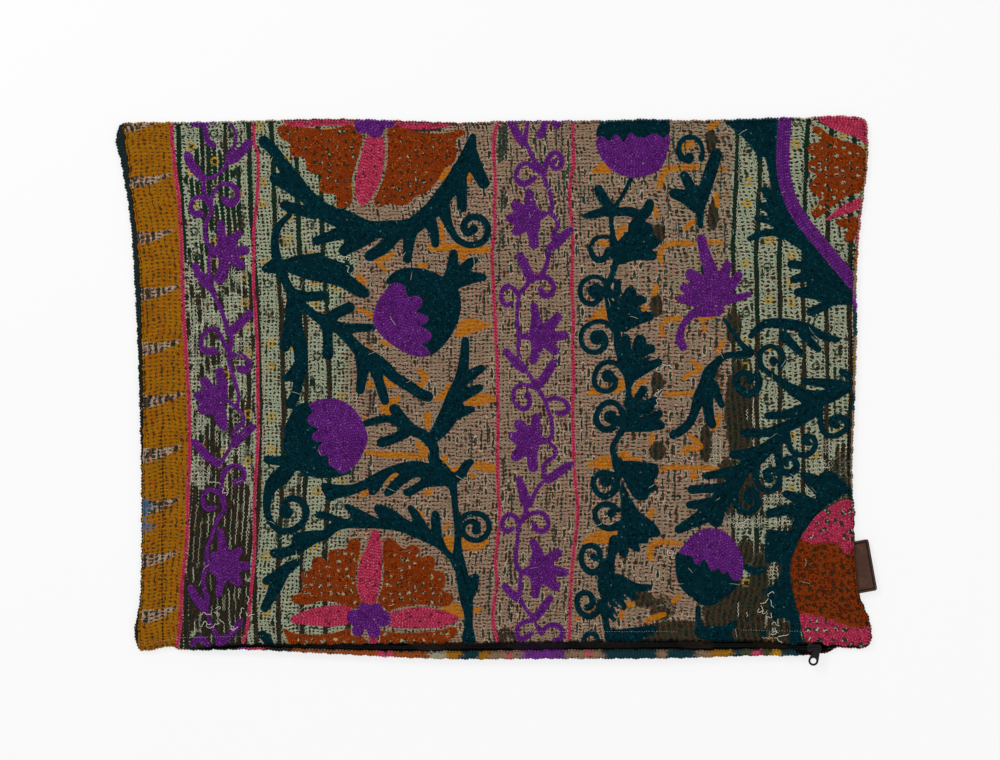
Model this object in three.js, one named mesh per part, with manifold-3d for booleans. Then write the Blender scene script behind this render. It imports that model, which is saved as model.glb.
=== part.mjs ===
// A zipped cushion cover, empty and lying flat on its back cloth. Both cloths are quilted and thick with
// embroidery. The back cloth rolls up round the edges to meet the front cloth, so a strip of it shows beside
// the front on the left, on the right and below the zip.
// Lengths are in millimetres. +X runs along the long side, +Y along the short side, +Z up from the surface.
import * as THREE from "three";
import { mergeVertices } from "three/addons/utils/BufferGeometryUtils.js";
import Module from "manifold-3d";

const wasm = await Module();
wasm.setup();

const CLOTH = 2.5; // thickness of one quilted and embroidered cloth
const FLAT = 5.4; // height of the two cloths where they lie close
const RAISED = 7.4; // height where the zip or the label lies between them
const SEWN = 0.2; // half of the gap between the cloths along a sewn seam
const SNUG = 0.8; // how far the back cloth reaches over the fold where no strip of it shows
const LABEL_GAP = 3.6; // half of the gap where the label comes out of the seam
const PIECE_GAP = 0.3; // between neighbouring pieces

// The cover's outermost fold, clockwise from the top left corner. Columns: x, y.
const CORNERS = {
  topLeft: [-352.6, 246.7],
  topRight: [344.1, 251.7],
  bottomRight: [348.1, -238],
  bottomLeft: [-331.2, -244.3],
};
const OUTLINE = {
  top: [
    [-347.5, 249.2],
    [-340, 249.9],
    [-276, 250.1],
    [-226, 251.2],
    [-118, 250],
    [-29, 248.7],
    [3, 251.1],
    [106, 252],
    [246, 253.4],
    [291, 253.8],
    [305, 256],
    [333, 255.7],
    [340, 254.5],
  ],
  right: [
    [346.2, 248],
    [346.8, 240],
    [346.6, 211],
    [342.1, 174.5],
    [338.3, 137],
    [336.4, 100],
    [336.9, 61],
    [335.1, 0],
    [332.7, -89],
    [336.5, -131],
    [341.1, -187],
    [345.8, -205],
    [350, -221],
    [350.7, -230],
  ],
  bottom: [
    [344, -241.1],
    [318, -241.3],
    [309, -245.6],
    [296, -247.8],
    [240, -248.3],
    [164, -250.6],
    [59, -251.1],
    [-53, -251.1],
    [-155, -246.4],
    [-230, -242.7],
    [-294, -242.5],
    [-304, -239.5],
    [-314, -241.7],
  ],
  left: [
    [-336.2, -237.5],
    [-337.9, -229.6],
    [-337, -215.6],
    [-334.1, -203.5],
    [-332.2, -180],
    [-331.8, -79],
    [-334, 7.5],
    [-335.5, 51],
    [-338.3, 105],
    [-341.5, 154],
    [-346.5, 189],
    [-351.8, 216],
    [-355.4, 230.5],
    [-354.9, 239],
  ],
};

// How each side is finished. Columns: place along the side (x on the top and bottom, y on the right and left),
// height of the edge, how far the back cloth reaches over the outermost fold, half gap between the cloths.
const FINISH = {
  top: [
    [-352.6, FLAT, 3, SEWN],
    [-340, FLAT, SNUG, SEWN],
    [344.1, FLAT, SNUG, SEWN],
  ],
  right: [
    [251.7, FLAT, SNUG, SEWN],
    [137, FLAT, SNUG, SEWN],
    [119, FLAT, 3.3, SEWN],
    [84, FLAT, 4, SEWN],
    [37, FLAT, 3, SEWN],
    [-60, FLAT, 2.2, SEWN],
    [-95, FLAT, 2.2, SEWN],
    [-112, FLAT, SNUG, SEWN],
    [-131, RAISED, SNUG, LABEL_GAP],
    [-195, RAISED, SNUG, LABEL_GAP],
    [-216, FLAT, SNUG, SEWN],
    [-238, FLAT, SNUG, SEWN],
  ],
  bottom: [
    [348.1, FLAT, SNUG, SEWN],
    [322, FLAT, SNUG, SEWN],
    [311, RAISED, 3, 4],
    [304, RAISED, 5.4, 6.4],
    [288, RAISED, 5.4, 6.4],
    [277, RAISED, 8.45, 1.9],
    [240, RAISED, 10.6, 3.25],
    [189, RAISED, 11.2, 3.65],
    [164, RAISED, 13, 3.75],
    [59, RAISED, 12.75, 3.3],
    [-53, RAISED, 11.55, 3.3],
    [-90, RAISED, 9.95, 3.3],
    [-155, RAISED, 7.15, 2.1],
    [-230, RAISED, 4.15, 0.9],
    [-277, RAISED, 1.8, 0.95],
    [-296, FLAT, SNUG, SEWN],
    [-331.2, FLAT, SNUG, SEWN],
  ],
  left: [
    [-244.3, FLAT, SNUG, SEWN],
    [-237.5, FLAT, 1.2, SEWN],
    [-229.6, FLAT, 3.4, SEWN],
    [-203.5, FLAT, 1, SEWN],
    [-190, FLAT, SNUG, SEWN],
    [-79, FLAT, SNUG, SEWN],
    [-46, FLAT, 2.4, SEWN],
    [7.5, FLAT, 3.5, SEWN],
    [105, FLAT, 5.2, SEWN],
    [190, FLAT, 4.3, SEWN],
    [205, FLAT, 6.1, SEWN],
    [238, FLAT, 9.4, SEWN],
    [246.7, FLAT, 3, SEWN],
  ],
};

// Where the cloths' grid lines meet the sides. Columns: share of the side where a span ends, cells in it.
const LONG_SPANS = [
  [0.1, 7],
  [0.9, 10],
  [1, 7],
];
const SHORT_SPANS = [
  [0.06, 3],
  [0.7, 9],
  [0.91, 5],
  [1, 3],
];

function sharesOf(spans) {
  const shares = [0];
  let from = 0;
  for (const [to, cells] of spans) {
    for (let i = 1; i <= cells; i++) shares.push(from + ((to - from) * i) / cells);
    from = to;
  }
  return shares;
}

const LONG_SHARES = sharesOf(LONG_SPANS);
const SHORT_SHARES = sharesOf(SHORT_SPANS);
const COLUMNS = LONG_SHARES.length - 1;
const ROWS = SHORT_SHARES.length - 1;
const backwards = (shares) => shares.map((share) => 1 - share).reverse();

// Linear reading of a table's columns at a place along its first column, whichever way that column runs.
function readTable(table, place) {
  const rising = table[table.length - 1][0] > table[0][0];
  const rows = rising ? table : [...table].reverse();
  const at = Math.min(Math.max(place, rows[0][0]), rows[rows.length - 1][0]);
  const next = Math.max(1, rows.findIndex((row) => row[0] >= at));
  const share = (at - rows[next - 1][0]) / (rows[next][0] - rows[next - 1][0]);
  return rows[next].slice(1).map((value, i) => THREE.MathUtils.lerp(rows[next - 1][i + 1], value, share));
}

// One station for each grid line that meets the side: its place on the outermost fold and its finish.
function stationsOf(side, from, to, shares, along) {
  const points = [CORNERS[from], ...OUTLINE[side], CORNERS[to]].map(([x, y]) => new THREE.Vector3(x, y, 0));
  const curve = new THREE.CatmullRomCurve3(points, false, "centripetal");
  curve.arcLengthDivisions = 800;
  return shares.slice(0, -1).map((share) => {
    const place = curve.getPointAt(share);
    const [height, reach, halfGap] = readTable(FINISH[side], place[along]);
    return { place, height, reach, halfGap };
  });
}

function perimeter() {
  const stations = [
    ...stationsOf("top", "topLeft", "topRight", LONG_SHARES, "x"),
    ...stationsOf("right", "topRight", "bottomRight", SHORT_SHARES, "y"),
    ...stationsOf("bottom", "bottomRight", "bottomLeft", backwards(LONG_SHARES), "x"),
    ...stationsOf("left", "bottomLeft", "topLeft", backwards(SHORT_SHARES), "y"),
  ];
  const count = stations.length;
  stations.forEach((station, i) => {
    const before = stations[(i + count - 1) % count].place;
    const after = stations[(i + 1) % count].place;
    const run = after.clone().sub(before).normalize();
    station.outward = new THREE.Vector3(-run.y, run.x, 0);
  });
  return stations;
}

const STATIONS = perimeter();

// A point of a cloth's middle surface near the edge. reach is measured along the cloth from the outermost
// line of the fold, over the top when positive and underneath when negative.
function foldPoint(station, reach) {
  const bend = (station.height - CLOTH) / 2;
  const quarter = (Math.PI / 2) * bend;
  const turn = THREE.MathUtils.clamp(reach, -quarter, quarter) / bend;
  const past = Math.max(0, Math.abs(reach) - quarter);
  const inset = station.height / 2 - bend * Math.cos(turn) + past;
  const middle = station.place.clone().addScaledVector(station.outward, -inset);
  middle.z = station.height / 2 + bend * Math.sin(turn);
  const normal = station.outward.clone().multiplyScalar(Math.cos(turn));
  normal.z = Math.sin(turn);
  return { middle, normal };
}

// The four sides of a closed loop of stations, as functions of a grid line's number.
function sidesOf(loop) {
  return {
    top: (i) => loop[i],
    right: (j) => loop[(COLUMNS + j) % loop.length],
    bottom: (i) => loop[(COLUMNS + ROWS + (COLUMNS - i)) % loop.length],
    left: (j) => loop[(2 * COLUMNS + ROWS + (ROWS - j)) % loop.length],
  };
}

// A point inside the loop, from the four sides that surround it.
function insidePoint(sides, i, j) {
  const u = LONG_SHARES[i];
  const v = SHORT_SHARES[j];
  const point = new THREE.Vector3()
    .addScaledVector(sides.top(i), 1 - v)
    .addScaledVector(sides.bottom(i), v)
    .addScaledVector(sides.left(j), 1 - u)
    .addScaledVector(sides.right(j), u);
  return point
    .addScaledVector(sides.top(0), -(1 - u) * (1 - v))
    .addScaledVector(sides.top(COLUMNS), -u * (1 - v))
    .addScaledVector(sides.bottom(0), -(1 - u) * v)
    .addScaledVector(sides.bottom(COLUMNS), -u * v);
}

// A cloth of even thickness: a grid inside the first loop, then bands out to the last loop, which is its edge.
function clothGeometry(loops, heightInside, facesUp) {
  const loop = loops[0].map((entry) => entry.middle);
  const sides = sidesOf(loop);
  const up = new THREE.Vector3(0, 0, facesUp ? 1 : -1);
  const count = loop.length;
  const entries = loops.flat();
  const gridIndex = [];
  for (let j = 0; j <= ROWS; j++) {
    gridIndex.push([]);
    for (let i = 0; i <= COLUMNS; i++) {
      if (j === 0) gridIndex[j].push(i);
      else if (i === COLUMNS) gridIndex[j].push(COLUMNS + j);
      else if (j === ROWS) gridIndex[j].push(COLUMNS + ROWS + (COLUMNS - i));
      else if (i === 0) gridIndex[j].push(2 * COLUMNS + ROWS + (ROWS - j));
      else {
        const middle = insidePoint(sides, i, j);
        middle.z = heightInside(middle, i, j, sides);
        gridIndex[j].push(entries.length);
        entries.push({ middle, normal: up });
      }
    }
  }
  const quads = [];
  for (let j = 0; j < ROWS; j++) {
    for (let i = 0; i < COLUMNS; i++) {
      quads.push([gridIndex[j][i], gridIndex[j + 1][i], gridIndex[j + 1][i + 1], gridIndex[j][i + 1]]);
    }
  }
  for (let k = 0; k + 1 < loops.length; k++) {
    for (let s = 0; s < count; s++) {
      const next = (s + 1) % count;
      quads.push([k * count + s, k * count + next, (k + 1) * count + next, (k + 1) * count + s]);
    }
  }
  const inner = entries.length;
  const positions = [];
  for (const sign of [1, -1]) {
    for (const { middle, normal } of entries) {
      positions.push(...middle.clone().addScaledVector(normal, (sign * CLOTH) / 2).toArray());
    }
  }
  const faces = [];
  for (const [a, b, c, d] of quads) {
    faces.push(a, b, c, a, c, d);
    faces.push(inner + a, inner + c, inner + b, inner + a, inner + d, inner + c);
  }
  const edge = (loops.length - 1) * count;
  for (let s = 0; s < count; s++) {
    const here = edge + s;
    const next = edge + ((s + 1) % count);
    faces.push(here, next, inner + next, here, inner + next, inner + here);
  }
  if (!facesUp) {
    for (let f = 0; f < faces.length; f += 3) [faces[f + 1], faces[f + 2]] = [faces[f + 2], faces[f + 1]];
  }
  const geometry = new THREE.BufferGeometry();
  geometry.setAttribute("position", new THREE.Float32BufferAttribute(positions, 3));
  geometry.setIndex(faces);
  geometry.computeVertexNormals();
  return geometry;
}

// The front cloth lies on the back cloth, rides up over the zip tape and the label, and is a little uneven.
const FRONT_TURN = [2.1, 1.4, 0.7, 0]; // distances back from its edge, along the cloth
const RISE_WIDTH = 30; // how far in from the edge the cloth rises over zip and label
const UNEVEN = 0.8;
const UNEVEN_FADE = 60; // unevenness fades out this near to the edge
const UNEVEN_LONG = 230; // length of the waves along x
const UNEVEN_SHORT = 290; // and along y

function frontHeight(point, i, j, sides) {
  const lying = FLAT - CLOTH / 2;
  const edges = [sides.top(i), sides.right(j), sides.bottom(i), sides.left(j)];
  let height = lying;
  let nearest = Infinity;
  for (const edge of edges) {
    const away = Math.hypot(edge.x - point.x, edge.y - point.y);
    height += (edge.z - lying) * (1 - THREE.MathUtils.smoothstep(away, 0, RISE_WIDTH));
    nearest = Math.min(nearest, away);
  }
  const wave =
    0.5 + 0.5 * Math.sin((2 * Math.PI * point.x) / UNEVEN_LONG + 0.6) * Math.cos((2 * Math.PI * point.y) / UNEVEN_SHORT);
  return height + UNEVEN * wave * THREE.MathUtils.smoothstep(nearest, 0, UNEVEN_FADE);
}

function frontGeometry() {
  const loops = FRONT_TURN.map((back) =>
    STATIONS.map((station) => foldPoint(station, station.reach + station.halfGap + back)),
  );
  return clothGeometry(loops, frontHeight, true);
}

// The back cloth lies flat on the surface and rolls up round the outermost fold.
const BACK_BANDS = 8;
const BACK_LEAD = 2; // flat lead before the roll begins
const BACK_CROWDING = 1.5; // sets the bands closer where the cloth bends

function backGeometry() {
  const loops = [];
  for (let band = 0; band <= BACK_BANDS; band++) {
    const share = (band / BACK_BANDS) ** BACK_CROWDING;
    loops.push(
      STATIONS.map((station) => {
        const start = (-Math.PI / 4) * (station.height - CLOTH) - BACK_LEAD;
        const end = station.reach - station.halfGap;
        return foldPoint(station, THREE.MathUtils.lerp(start, end, share));
      }),
    );
  }
  return clothGeometry(loops, () => CLOTH / 2, false);
}

// The closed coil zip under the front's lower edge. Columns: x, y of its centre line.
const ZIP_LINE = [
  [-284, -236],
  [-230, -236],
  [-155, -238.9],
  [-90, -239.8],
  [59, -238.5],
  [164, -237.8],
  [240, -238.1],
  [262, -238.9],
  [277, -240.3],
  [304, -240.3],
];
const ZIP_BOTTOM = CLOTH + PIECE_GAP;
const TAPE = 0.8; // thickness of the woven tape
const CHAIN_WIDTH = 5;
const CHAIN_HEIGHT = 1.8;
const CHAIN_BEVEL = 0.5;
const CHAIN_FROM = -270;
const CHAIN_TO = 301;
const TAPE_FROM = -278;
const TAPE_TO = 288;
const TAPE_WIDTH = 7; // what lies past the chain, at most
const FOLD_INSIDE = 3.6; // the back tape keeps this far in from the outermost fold
const ZIP_STEPS = 30;

const zipLine = (x) => readTable(ZIP_LINE, x)[0];
const bottomFold = STATIONS.slice(COLUMNS + ROWS, 2 * COLUMNS + ROWS + 1).map(({ place }) => [place.x, place.y]);
const foldLine = (x) => readTable(bottomFold, x)[0];

// A closed strip through like sections, each a ring of [y, z] points that runs anticlockwise seen from +X.
function stripGeometry(from, to, sectionAt) {
  const positions = [];
  const faces = [];
  const corners = sectionAt(from).length;
  for (let step = 0; step <= ZIP_STEPS; step++) {
    const x = THREE.MathUtils.lerp(from, to, step / ZIP_STEPS);
    for (const [y, z] of sectionAt(x)) positions.push(x, y, z);
  }
  for (let step = 0; step < ZIP_STEPS; step++) {
    for (let corner = 0; corner < corners; corner++) {
      const next = (corner + 1) % corners;
      const a = step * corners + corner;
      const b = step * corners + next;
      faces.push(a, b, b + corners, a, b + corners, a + corners);
    }
  }
  const last = ZIP_STEPS * corners;
  for (let corner = 1; corner + 1 < corners; corner++) {
    faces.push(0, corner + 1, corner, last, last + corner, last + corner + 1);
  }
  const geometry = new THREE.BufferGeometry();
  geometry.setAttribute("position", new THREE.Float32BufferAttribute(positions, 3));
  geometry.setIndex(faces);
  return geometry;
}

const boxSection = (low, high) => [
  [low, ZIP_BOTTOM],
  [high, ZIP_BOTTOM],
  [high, ZIP_BOTTOM + TAPE],
  [low, ZIP_BOTTOM + TAPE],
];

function tapeFrontGeometry() {
  return stripGeometry(TAPE_FROM, TAPE_TO, (x) => {
    const low = zipLine(x) + CHAIN_WIDTH / 2 + PIECE_GAP;
    return boxSection(low, low + TAPE_WIDTH);
  });
}

function tapeBackGeometry() {
  return stripGeometry(TAPE_FROM, TAPE_TO, (x) => {
    const high = zipLine(x) - CHAIN_WIDTH / 2 - PIECE_GAP;
    return boxSection(Math.max(high - TAPE_WIDTH, foldLine(x) + FOLD_INSIDE), high);
  });
}

function chainGeometry() {
  const top = ZIP_BOTTOM + CHAIN_HEIGHT;
  return stripGeometry(CHAIN_FROM, CHAIN_TO, (x) => {
    const low = zipLine(x) - CHAIN_WIDTH / 2;
    const high = zipLine(x) + CHAIN_WIDTH / 2;
    return [
      [low, ZIP_BOTTOM],
      [high, ZIP_BOTTOM],
      [high, top - CHAIN_BEVEL],
      [high - CHAIN_BEVEL, top],
      [low + CHAIN_BEVEL, top],
      [low, top - CHAIN_BEVEL],
    ];
  });
}

// Solids are joined and cut here, then go back to geometry.
function solidFrom(geometry) {
  const plain = geometry.clone();
  plain.deleteAttribute("normal");
  plain.deleteAttribute("uv");
  const merged = mergeVertices(plain, 1e-3);
  return new wasm.Manifold(
    new wasm.Mesh({
      numProp: 3,
      vertProperties: merged.attributes.position.array,
      triVerts: new Uint32Array(merged.index.array),
    }),
  );
}

function geometryFrom(solid) {
  const { vertProperties, triVerts } = solid.getMesh();
  const geometry = new THREE.BufferGeometry();
  geometry.setAttribute("position", new THREE.Float32BufferAttribute(vertProperties, 3));
  geometry.setIndex(new THREE.BufferAttribute(triVerts, 1));
  return geometry;
}

function roundedShape(width, length, radius) {
  const shape = new THREE.Shape();
  const x = width / 2;
  const y = length / 2;
  shape.moveTo(-x + radius, -y);
  shape.lineTo(x - radius, -y);
  shape.absarc(x - radius, -y + radius, radius, -Math.PI / 2, 0, false);
  shape.lineTo(x, y - radius);
  shape.absarc(x - radius, y - radius, radius, 0, Math.PI / 2, false);
  shape.lineTo(-x + radius, y);
  shape.absarc(-x + radius, y - radius, radius, Math.PI / 2, Math.PI, false);
  shape.lineTo(-x, -y + radius);
  shape.absarc(-x + radius, -y + radius, radius, Math.PI, 1.5 * Math.PI, false);
  return shape;
}

// The slider straddles the closed chain. A bail on its top holds the pull.
const SLIDER_X = 296;
const SLIDER_LENGTH = 13;
const SLIDER_WIDTH = 7;
const SLIDER_RADIUS = 2;
const SLIDER_HEIGHT = 4; // above the tape's underside
const CHANNEL_WIDTH = CHAIN_WIDTH + 2 * PIECE_GAP;
const CHANNEL_HEIGHT = CHAIN_HEIGHT + PIECE_GAP;
const BAIL_SPAN = 8; // outside the posts
const BAIL_BAR = 1.4;
const BAIL_HEIGHT = 3.4;

function sliderGeometry() {
  const body = solidFrom(
    new THREE.ExtrudeGeometry(roundedShape(SLIDER_LENGTH, SLIDER_WIDTH, SLIDER_RADIUS), {
      depth: SLIDER_HEIGHT,
      bevelEnabled: false,
      curveSegments: 5,
    }),
  );
  const channel = solidFrom(new THREE.BoxGeometry(SLIDER_LENGTH + 2, CHANNEL_WIDTH, 2 * CHANNEL_HEIGHT));
  const arch = new THREE.Shape();
  arch.moveTo(-BAIL_SPAN / 2, -1);
  arch.lineTo(BAIL_SPAN / 2, -1);
  arch.lineTo(BAIL_SPAN / 2, BAIL_HEIGHT - 1);
  arch.lineTo(BAIL_SPAN / 2 - 1, BAIL_HEIGHT);
  arch.lineTo(-BAIL_SPAN / 2 + 1, BAIL_HEIGHT);
  arch.lineTo(-BAIL_SPAN / 2, BAIL_HEIGHT - 1);
  const bail = solidFrom(
    new THREE.ExtrudeGeometry(arch, { depth: BAIL_BAR, bevelEnabled: false })
      .translate(0, 0, -BAIL_BAR / 2)
      .rotateX(Math.PI / 2)
      .translate(0, 0, SLIDER_HEIGHT),
  );
  const window = solidFrom(
    new THREE.BoxGeometry(BAIL_SPAN - 2 * BAIL_BAR, 2 * BAIL_BAR, BAIL_HEIGHT - 1).translate(
      0,
      0,
      SLIDER_HEIGHT + (BAIL_HEIGHT - 1) / 2,
    ),
  );
  return geometryFrom(body.subtract(channel).add(bail.subtract(window)));
}

// The pull is a flat tab. A small slot at its head goes round one post of the bail.
const PULL_THICKNESS = 1.2;
const PULL_HEAD_WIDTH = 6;
const PULL_EYE_OUTSIDE = 4.6; // radius
const PULL_EYE = 2.7; // radius
const PULL_LENGTH = 12.6; // from the post to the middle of the eye
const PULL_HEAD = 2.6; // past the post
const SLOT = BAIL_BAR + 3 * PIECE_GAP;
const PULL_SWING = -0.34; // turned towards -X as it hangs off the slider
const PULL_DIP = 0.08;

function pullGeometry() {
  const side = PULL_HEAD_WIDTH / 2;
  const shape = new THREE.Shape();
  shape.moveTo(side, PULL_HEAD - 1);
  shape.lineTo(side - 1, PULL_HEAD);
  shape.lineTo(-side + 1, PULL_HEAD);
  shape.lineTo(-side, PULL_HEAD - 1);
  shape.lineTo(-side, -3);
  shape.lineTo(-PULL_EYE_OUTSIDE, -PULL_LENGTH + 1);
  shape.absarc(0, -PULL_LENGTH, PULL_EYE_OUTSIDE, Math.PI, 2 * Math.PI, false);
  shape.lineTo(PULL_EYE_OUTSIDE, -PULL_LENGTH + 1);
  shape.lineTo(side, -3);
  const slot = new THREE.Path();
  slot.moveTo(-SLOT / 2, -SLOT / 2);
  slot.lineTo(-SLOT / 2, SLOT / 2);
  slot.lineTo(SLOT / 2, SLOT / 2);
  slot.lineTo(SLOT / 2, -SLOT / 2);
  const eye = new THREE.Path();
  eye.absarc(0, -PULL_LENGTH, PULL_EYE, 0, 2 * Math.PI, true);
  shape.holes.push(slot, eye);
  return new THREE.ExtrudeGeometry(shape, { depth: PULL_THICKNESS, bevelEnabled: false, curveSegments: 12 });
}

// The label is a tab of leather. Its inner part lies in the seam, between the two cloths.
const LABEL_WIDTH = 22;
const LABEL_LENGTH = 48.6;
const LABEL_RADIUS = 2.2;
const LABEL_THICKNESS = 1.8;
const LABEL_CORNER = [346.6, -138.8]; // its upper outer corner
const LABEL_LEAN = 0.176; // its lower end swings outwards

function labelGeometry() {
  return new THREE.ExtrudeGeometry(roundedShape(LABEL_WIDTH, LABEL_LENGTH, LABEL_RADIUS), {
    depth: LABEL_THICKNESS,
    bevelEnabled: false,
    curveSegments: 4,
  }).translate(-LABEL_WIDTH / 2, -LABEL_LENGTH / 2, 0);
}

const MATERIALS = {
  front: new THREE.MeshStandardMaterial({ color: 0x8f7f66, roughness: 0.95, metalness: 0 }),
  back: new THREE.MeshStandardMaterial({ color: 0x76694f, roughness: 0.95, metalness: 0 }),
  zip: new THREE.MeshStandardMaterial({ color: 0x0b0b0c, roughness: 0.8, metalness: 0 }),
  slider: new THREE.MeshStandardMaterial({ color: 0x0a0a0a, roughness: 0.35, metalness: 0.6 }),
  leather: new THREE.MeshStandardMaterial({ color: 0x4a3226, roughness: 0.6, metalness: 0 }),
};

function piece(name, geometry, material) {
  const mesh = new THREE.Mesh(geometry, material);
  mesh.name = name;
  return mesh;
}

function cushionCover() {
  const cover = new THREE.Group();
  cover.add(piece("front_panel", frontGeometry(), MATERIALS.front));
  cover.add(piece("back_panel", backGeometry(), MATERIALS.back));
  cover.add(piece("zip_tape_front", tapeFrontGeometry(), MATERIALS.zip));
  cover.add(piece("zip_tape_back", tapeBackGeometry(), MATERIALS.zip));
  cover.add(piece("zip_chain", chainGeometry(), MATERIALS.zip));

  const slider = new THREE.Group();
  slider.position.set(SLIDER_X, zipLine(SLIDER_X), ZIP_BOTTOM);
  slider.add(piece("zip_slider", sliderGeometry(), MATERIALS.slider));
  const pull = piece("zip_pull", pullGeometry(), MATERIALS.slider);
  pull.position.set((BAIL_SPAN - BAIL_BAR) / 2, 0, SLIDER_HEIGHT + 2 * PIECE_GAP);
  pull.rotation.set(PULL_DIP, 0, PULL_SWING, "ZXY");
  slider.add(pull);
  cover.add(slider);

  const label = piece("leather_label", labelGeometry(), MATERIALS.leather);
  label.position.set(...LABEL_CORNER, CLOTH + PIECE_GAP);
  label.rotation.z = LABEL_LEAN;
  cover.add(label);
  return cover;
}

const group = cushionCover();
export default group;
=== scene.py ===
"""A zipped cushion cover lying flat: two quilted cloths full of chain stitch, a coil zip and a leather tab.

The tables are in millimetres, in the frame's own axes. Meshes are made in metres.
"""

import itertools
import math

import bpy
import numpy as np
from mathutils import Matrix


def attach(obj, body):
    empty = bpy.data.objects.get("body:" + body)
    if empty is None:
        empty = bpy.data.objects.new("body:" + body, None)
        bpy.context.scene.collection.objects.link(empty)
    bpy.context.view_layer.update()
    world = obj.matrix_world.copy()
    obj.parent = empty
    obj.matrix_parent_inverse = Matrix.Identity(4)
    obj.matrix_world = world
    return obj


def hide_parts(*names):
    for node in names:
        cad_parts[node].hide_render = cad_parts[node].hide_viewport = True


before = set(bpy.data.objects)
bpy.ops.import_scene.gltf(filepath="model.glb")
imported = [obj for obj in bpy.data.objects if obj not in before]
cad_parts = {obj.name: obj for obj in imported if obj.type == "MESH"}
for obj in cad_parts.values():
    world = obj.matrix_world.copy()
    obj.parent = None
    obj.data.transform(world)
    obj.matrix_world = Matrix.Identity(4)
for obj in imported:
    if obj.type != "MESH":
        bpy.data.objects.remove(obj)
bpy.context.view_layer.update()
MM = 0.001
random = np.random.default_rng(20)


# ---------------------------------------------------------------- camera, lights and floor

VIEW_CENTRE = (3.3, 9.3)  # what the camera looks straight down at
VIEW_WIDTH = 933.3
CAMERA_HEIGHT = 3.2  # metres
SENSOR = 36.0
WHITE = (1, 1, 1, 1)
WORLD_STRENGTH = 0.62
LIGHTS = {  # place and size in metres, power in watts
    "key": ((-1.3, 1.5, 1.5), 0.8, 26.0),
    "fill": ((1.6, -0.8, 1.9), 1.6, 12.0),
}
FLOOR_SIZE = 6.0  # metres
FLOOR_GREY = (0.86, 0.86, 0.86, 1)
FLOOR_GLOW = 0.72  # how much of the floor's white is its own, so that it stays near white round the object


def make_camera():
    """A long lens high over the cover, looking straight down."""
    data = bpy.data.cameras.new("camera")
    data.sensor_width = SENSOR
    data.lens = SENSOR * CAMERA_HEIGHT / (VIEW_WIDTH * MM)
    camera = bpy.data.objects.new("camera", data)
    camera.location = (VIEW_CENTRE[0] * MM, VIEW_CENTRE[1] * MM, CAMERA_HEIGHT)
    bpy.context.scene.collection.objects.link(camera)
    bpy.context.scene.camera = camera


def area_light(name, place, size, power):
    data = bpy.data.lights.new(name, "AREA")
    data.shape = "DISK"
    data.size = size
    data.energy = power
    light = bpy.data.objects.new(name, data)
    light.location = place
    aim = -light.location
    light.rotation_euler = aim.to_track_quat("-Z", "Y").to_euler()
    bpy.context.scene.collection.objects.link(light)


def make_lights():
    """A key light, a fill light and even light from all round, with white beyond the floor."""
    for name, (place, size, power) in LIGHTS.items():
        area_light(name, place, size, power)
    world = bpy.data.worlds.new("studio")
    bpy.context.scene.world = world
    world.use_nodes = True
    tree = world.node_tree
    light = tree.nodes["Background"]
    light.inputs["Color"].default_value = WHITE
    light.inputs["Strength"].default_value = WORLD_STRENGTH
    seen = tree.nodes.new("ShaderNodeBackground")
    seen.inputs["Color"].default_value = WHITE
    show_white(tree, light.outputs[0], seen.outputs[0], tree.nodes["World Output"].inputs["Surface"])
    bpy.context.scene.view_settings.view_transform = "Standard"


def show_white(tree, lit, seen, surface):
    """The camera and clear or glossy reflections see the second shader, all other rays the first."""
    path = tree.nodes.new("ShaderNodeLightPath")
    either = tree.nodes.new("ShaderNodeMath")
    either.operation = "MAXIMUM"
    tree.links.new(path.outputs["Is Camera Ray"], either.inputs[0])
    tree.links.new(path.outputs["Is Glossy Ray"], either.inputs[1])
    any_of = tree.nodes.new("ShaderNodeMath")
    any_of.operation = "MAXIMUM"
    tree.links.new(either.outputs[0], any_of.inputs[0])
    tree.links.new(path.outputs["Is Transmission Ray"], any_of.inputs[1])
    mix = tree.nodes.new("ShaderNodeMixShader")
    tree.links.new(any_of.outputs[0], mix.inputs[0])
    tree.links.new(lit, mix.inputs[1])
    tree.links.new(seen, mix.inputs[2])
    tree.links.new(mix.outputs[0], surface)


def make_floor():
    """A pale floor that the camera sees almost white and that throws back plain light."""
    mesh = bpy.data.meshes.new("floor")
    half = FLOOR_SIZE / 2
    corners = [(-half, -half, 0), (half, -half, 0), (half, half, 0), (-half, half, 0)]
    mesh.from_pydata(corners, [], [(0, 1, 2, 3)])
    floor = bpy.data.objects.new("floor", mesh)
    bpy.context.scene.collection.objects.link(floor)
    material = bpy.data.materials.new("floor")
    material.use_nodes = True
    tree = material.node_tree
    tree.nodes.remove(tree.nodes["Principled BSDF"])
    lit = tree.nodes.new("ShaderNodeBsdfDiffuse")
    lit.inputs["Color"].default_value = FLOOR_GREY
    glow = tree.nodes.new("ShaderNodeEmission")
    glow.inputs["Strength"].default_value = 1.0
    seen = tree.nodes.new("ShaderNodeMixShader")
    seen.inputs[0].default_value = FLOOR_GLOW
    tree.links.new(lit.outputs[0], seen.inputs[1])
    tree.links.new(glow.outputs[0], seen.inputs[2])
    show_white(tree, lit.outputs[0], seen.outputs[0], tree.nodes["Material Output"].inputs["Surface"])
    mesh.materials.append(material)


make_camera()
make_lights()
make_floor()


# ---------------------------------------------------------------- motifs of the front cloth
# One part of a motif per line. A line that ends with a comma goes on in the next. Strokes are x y and half
# width along the middle of the part, with a width only where it changes. Areas are x y round the part.

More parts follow.
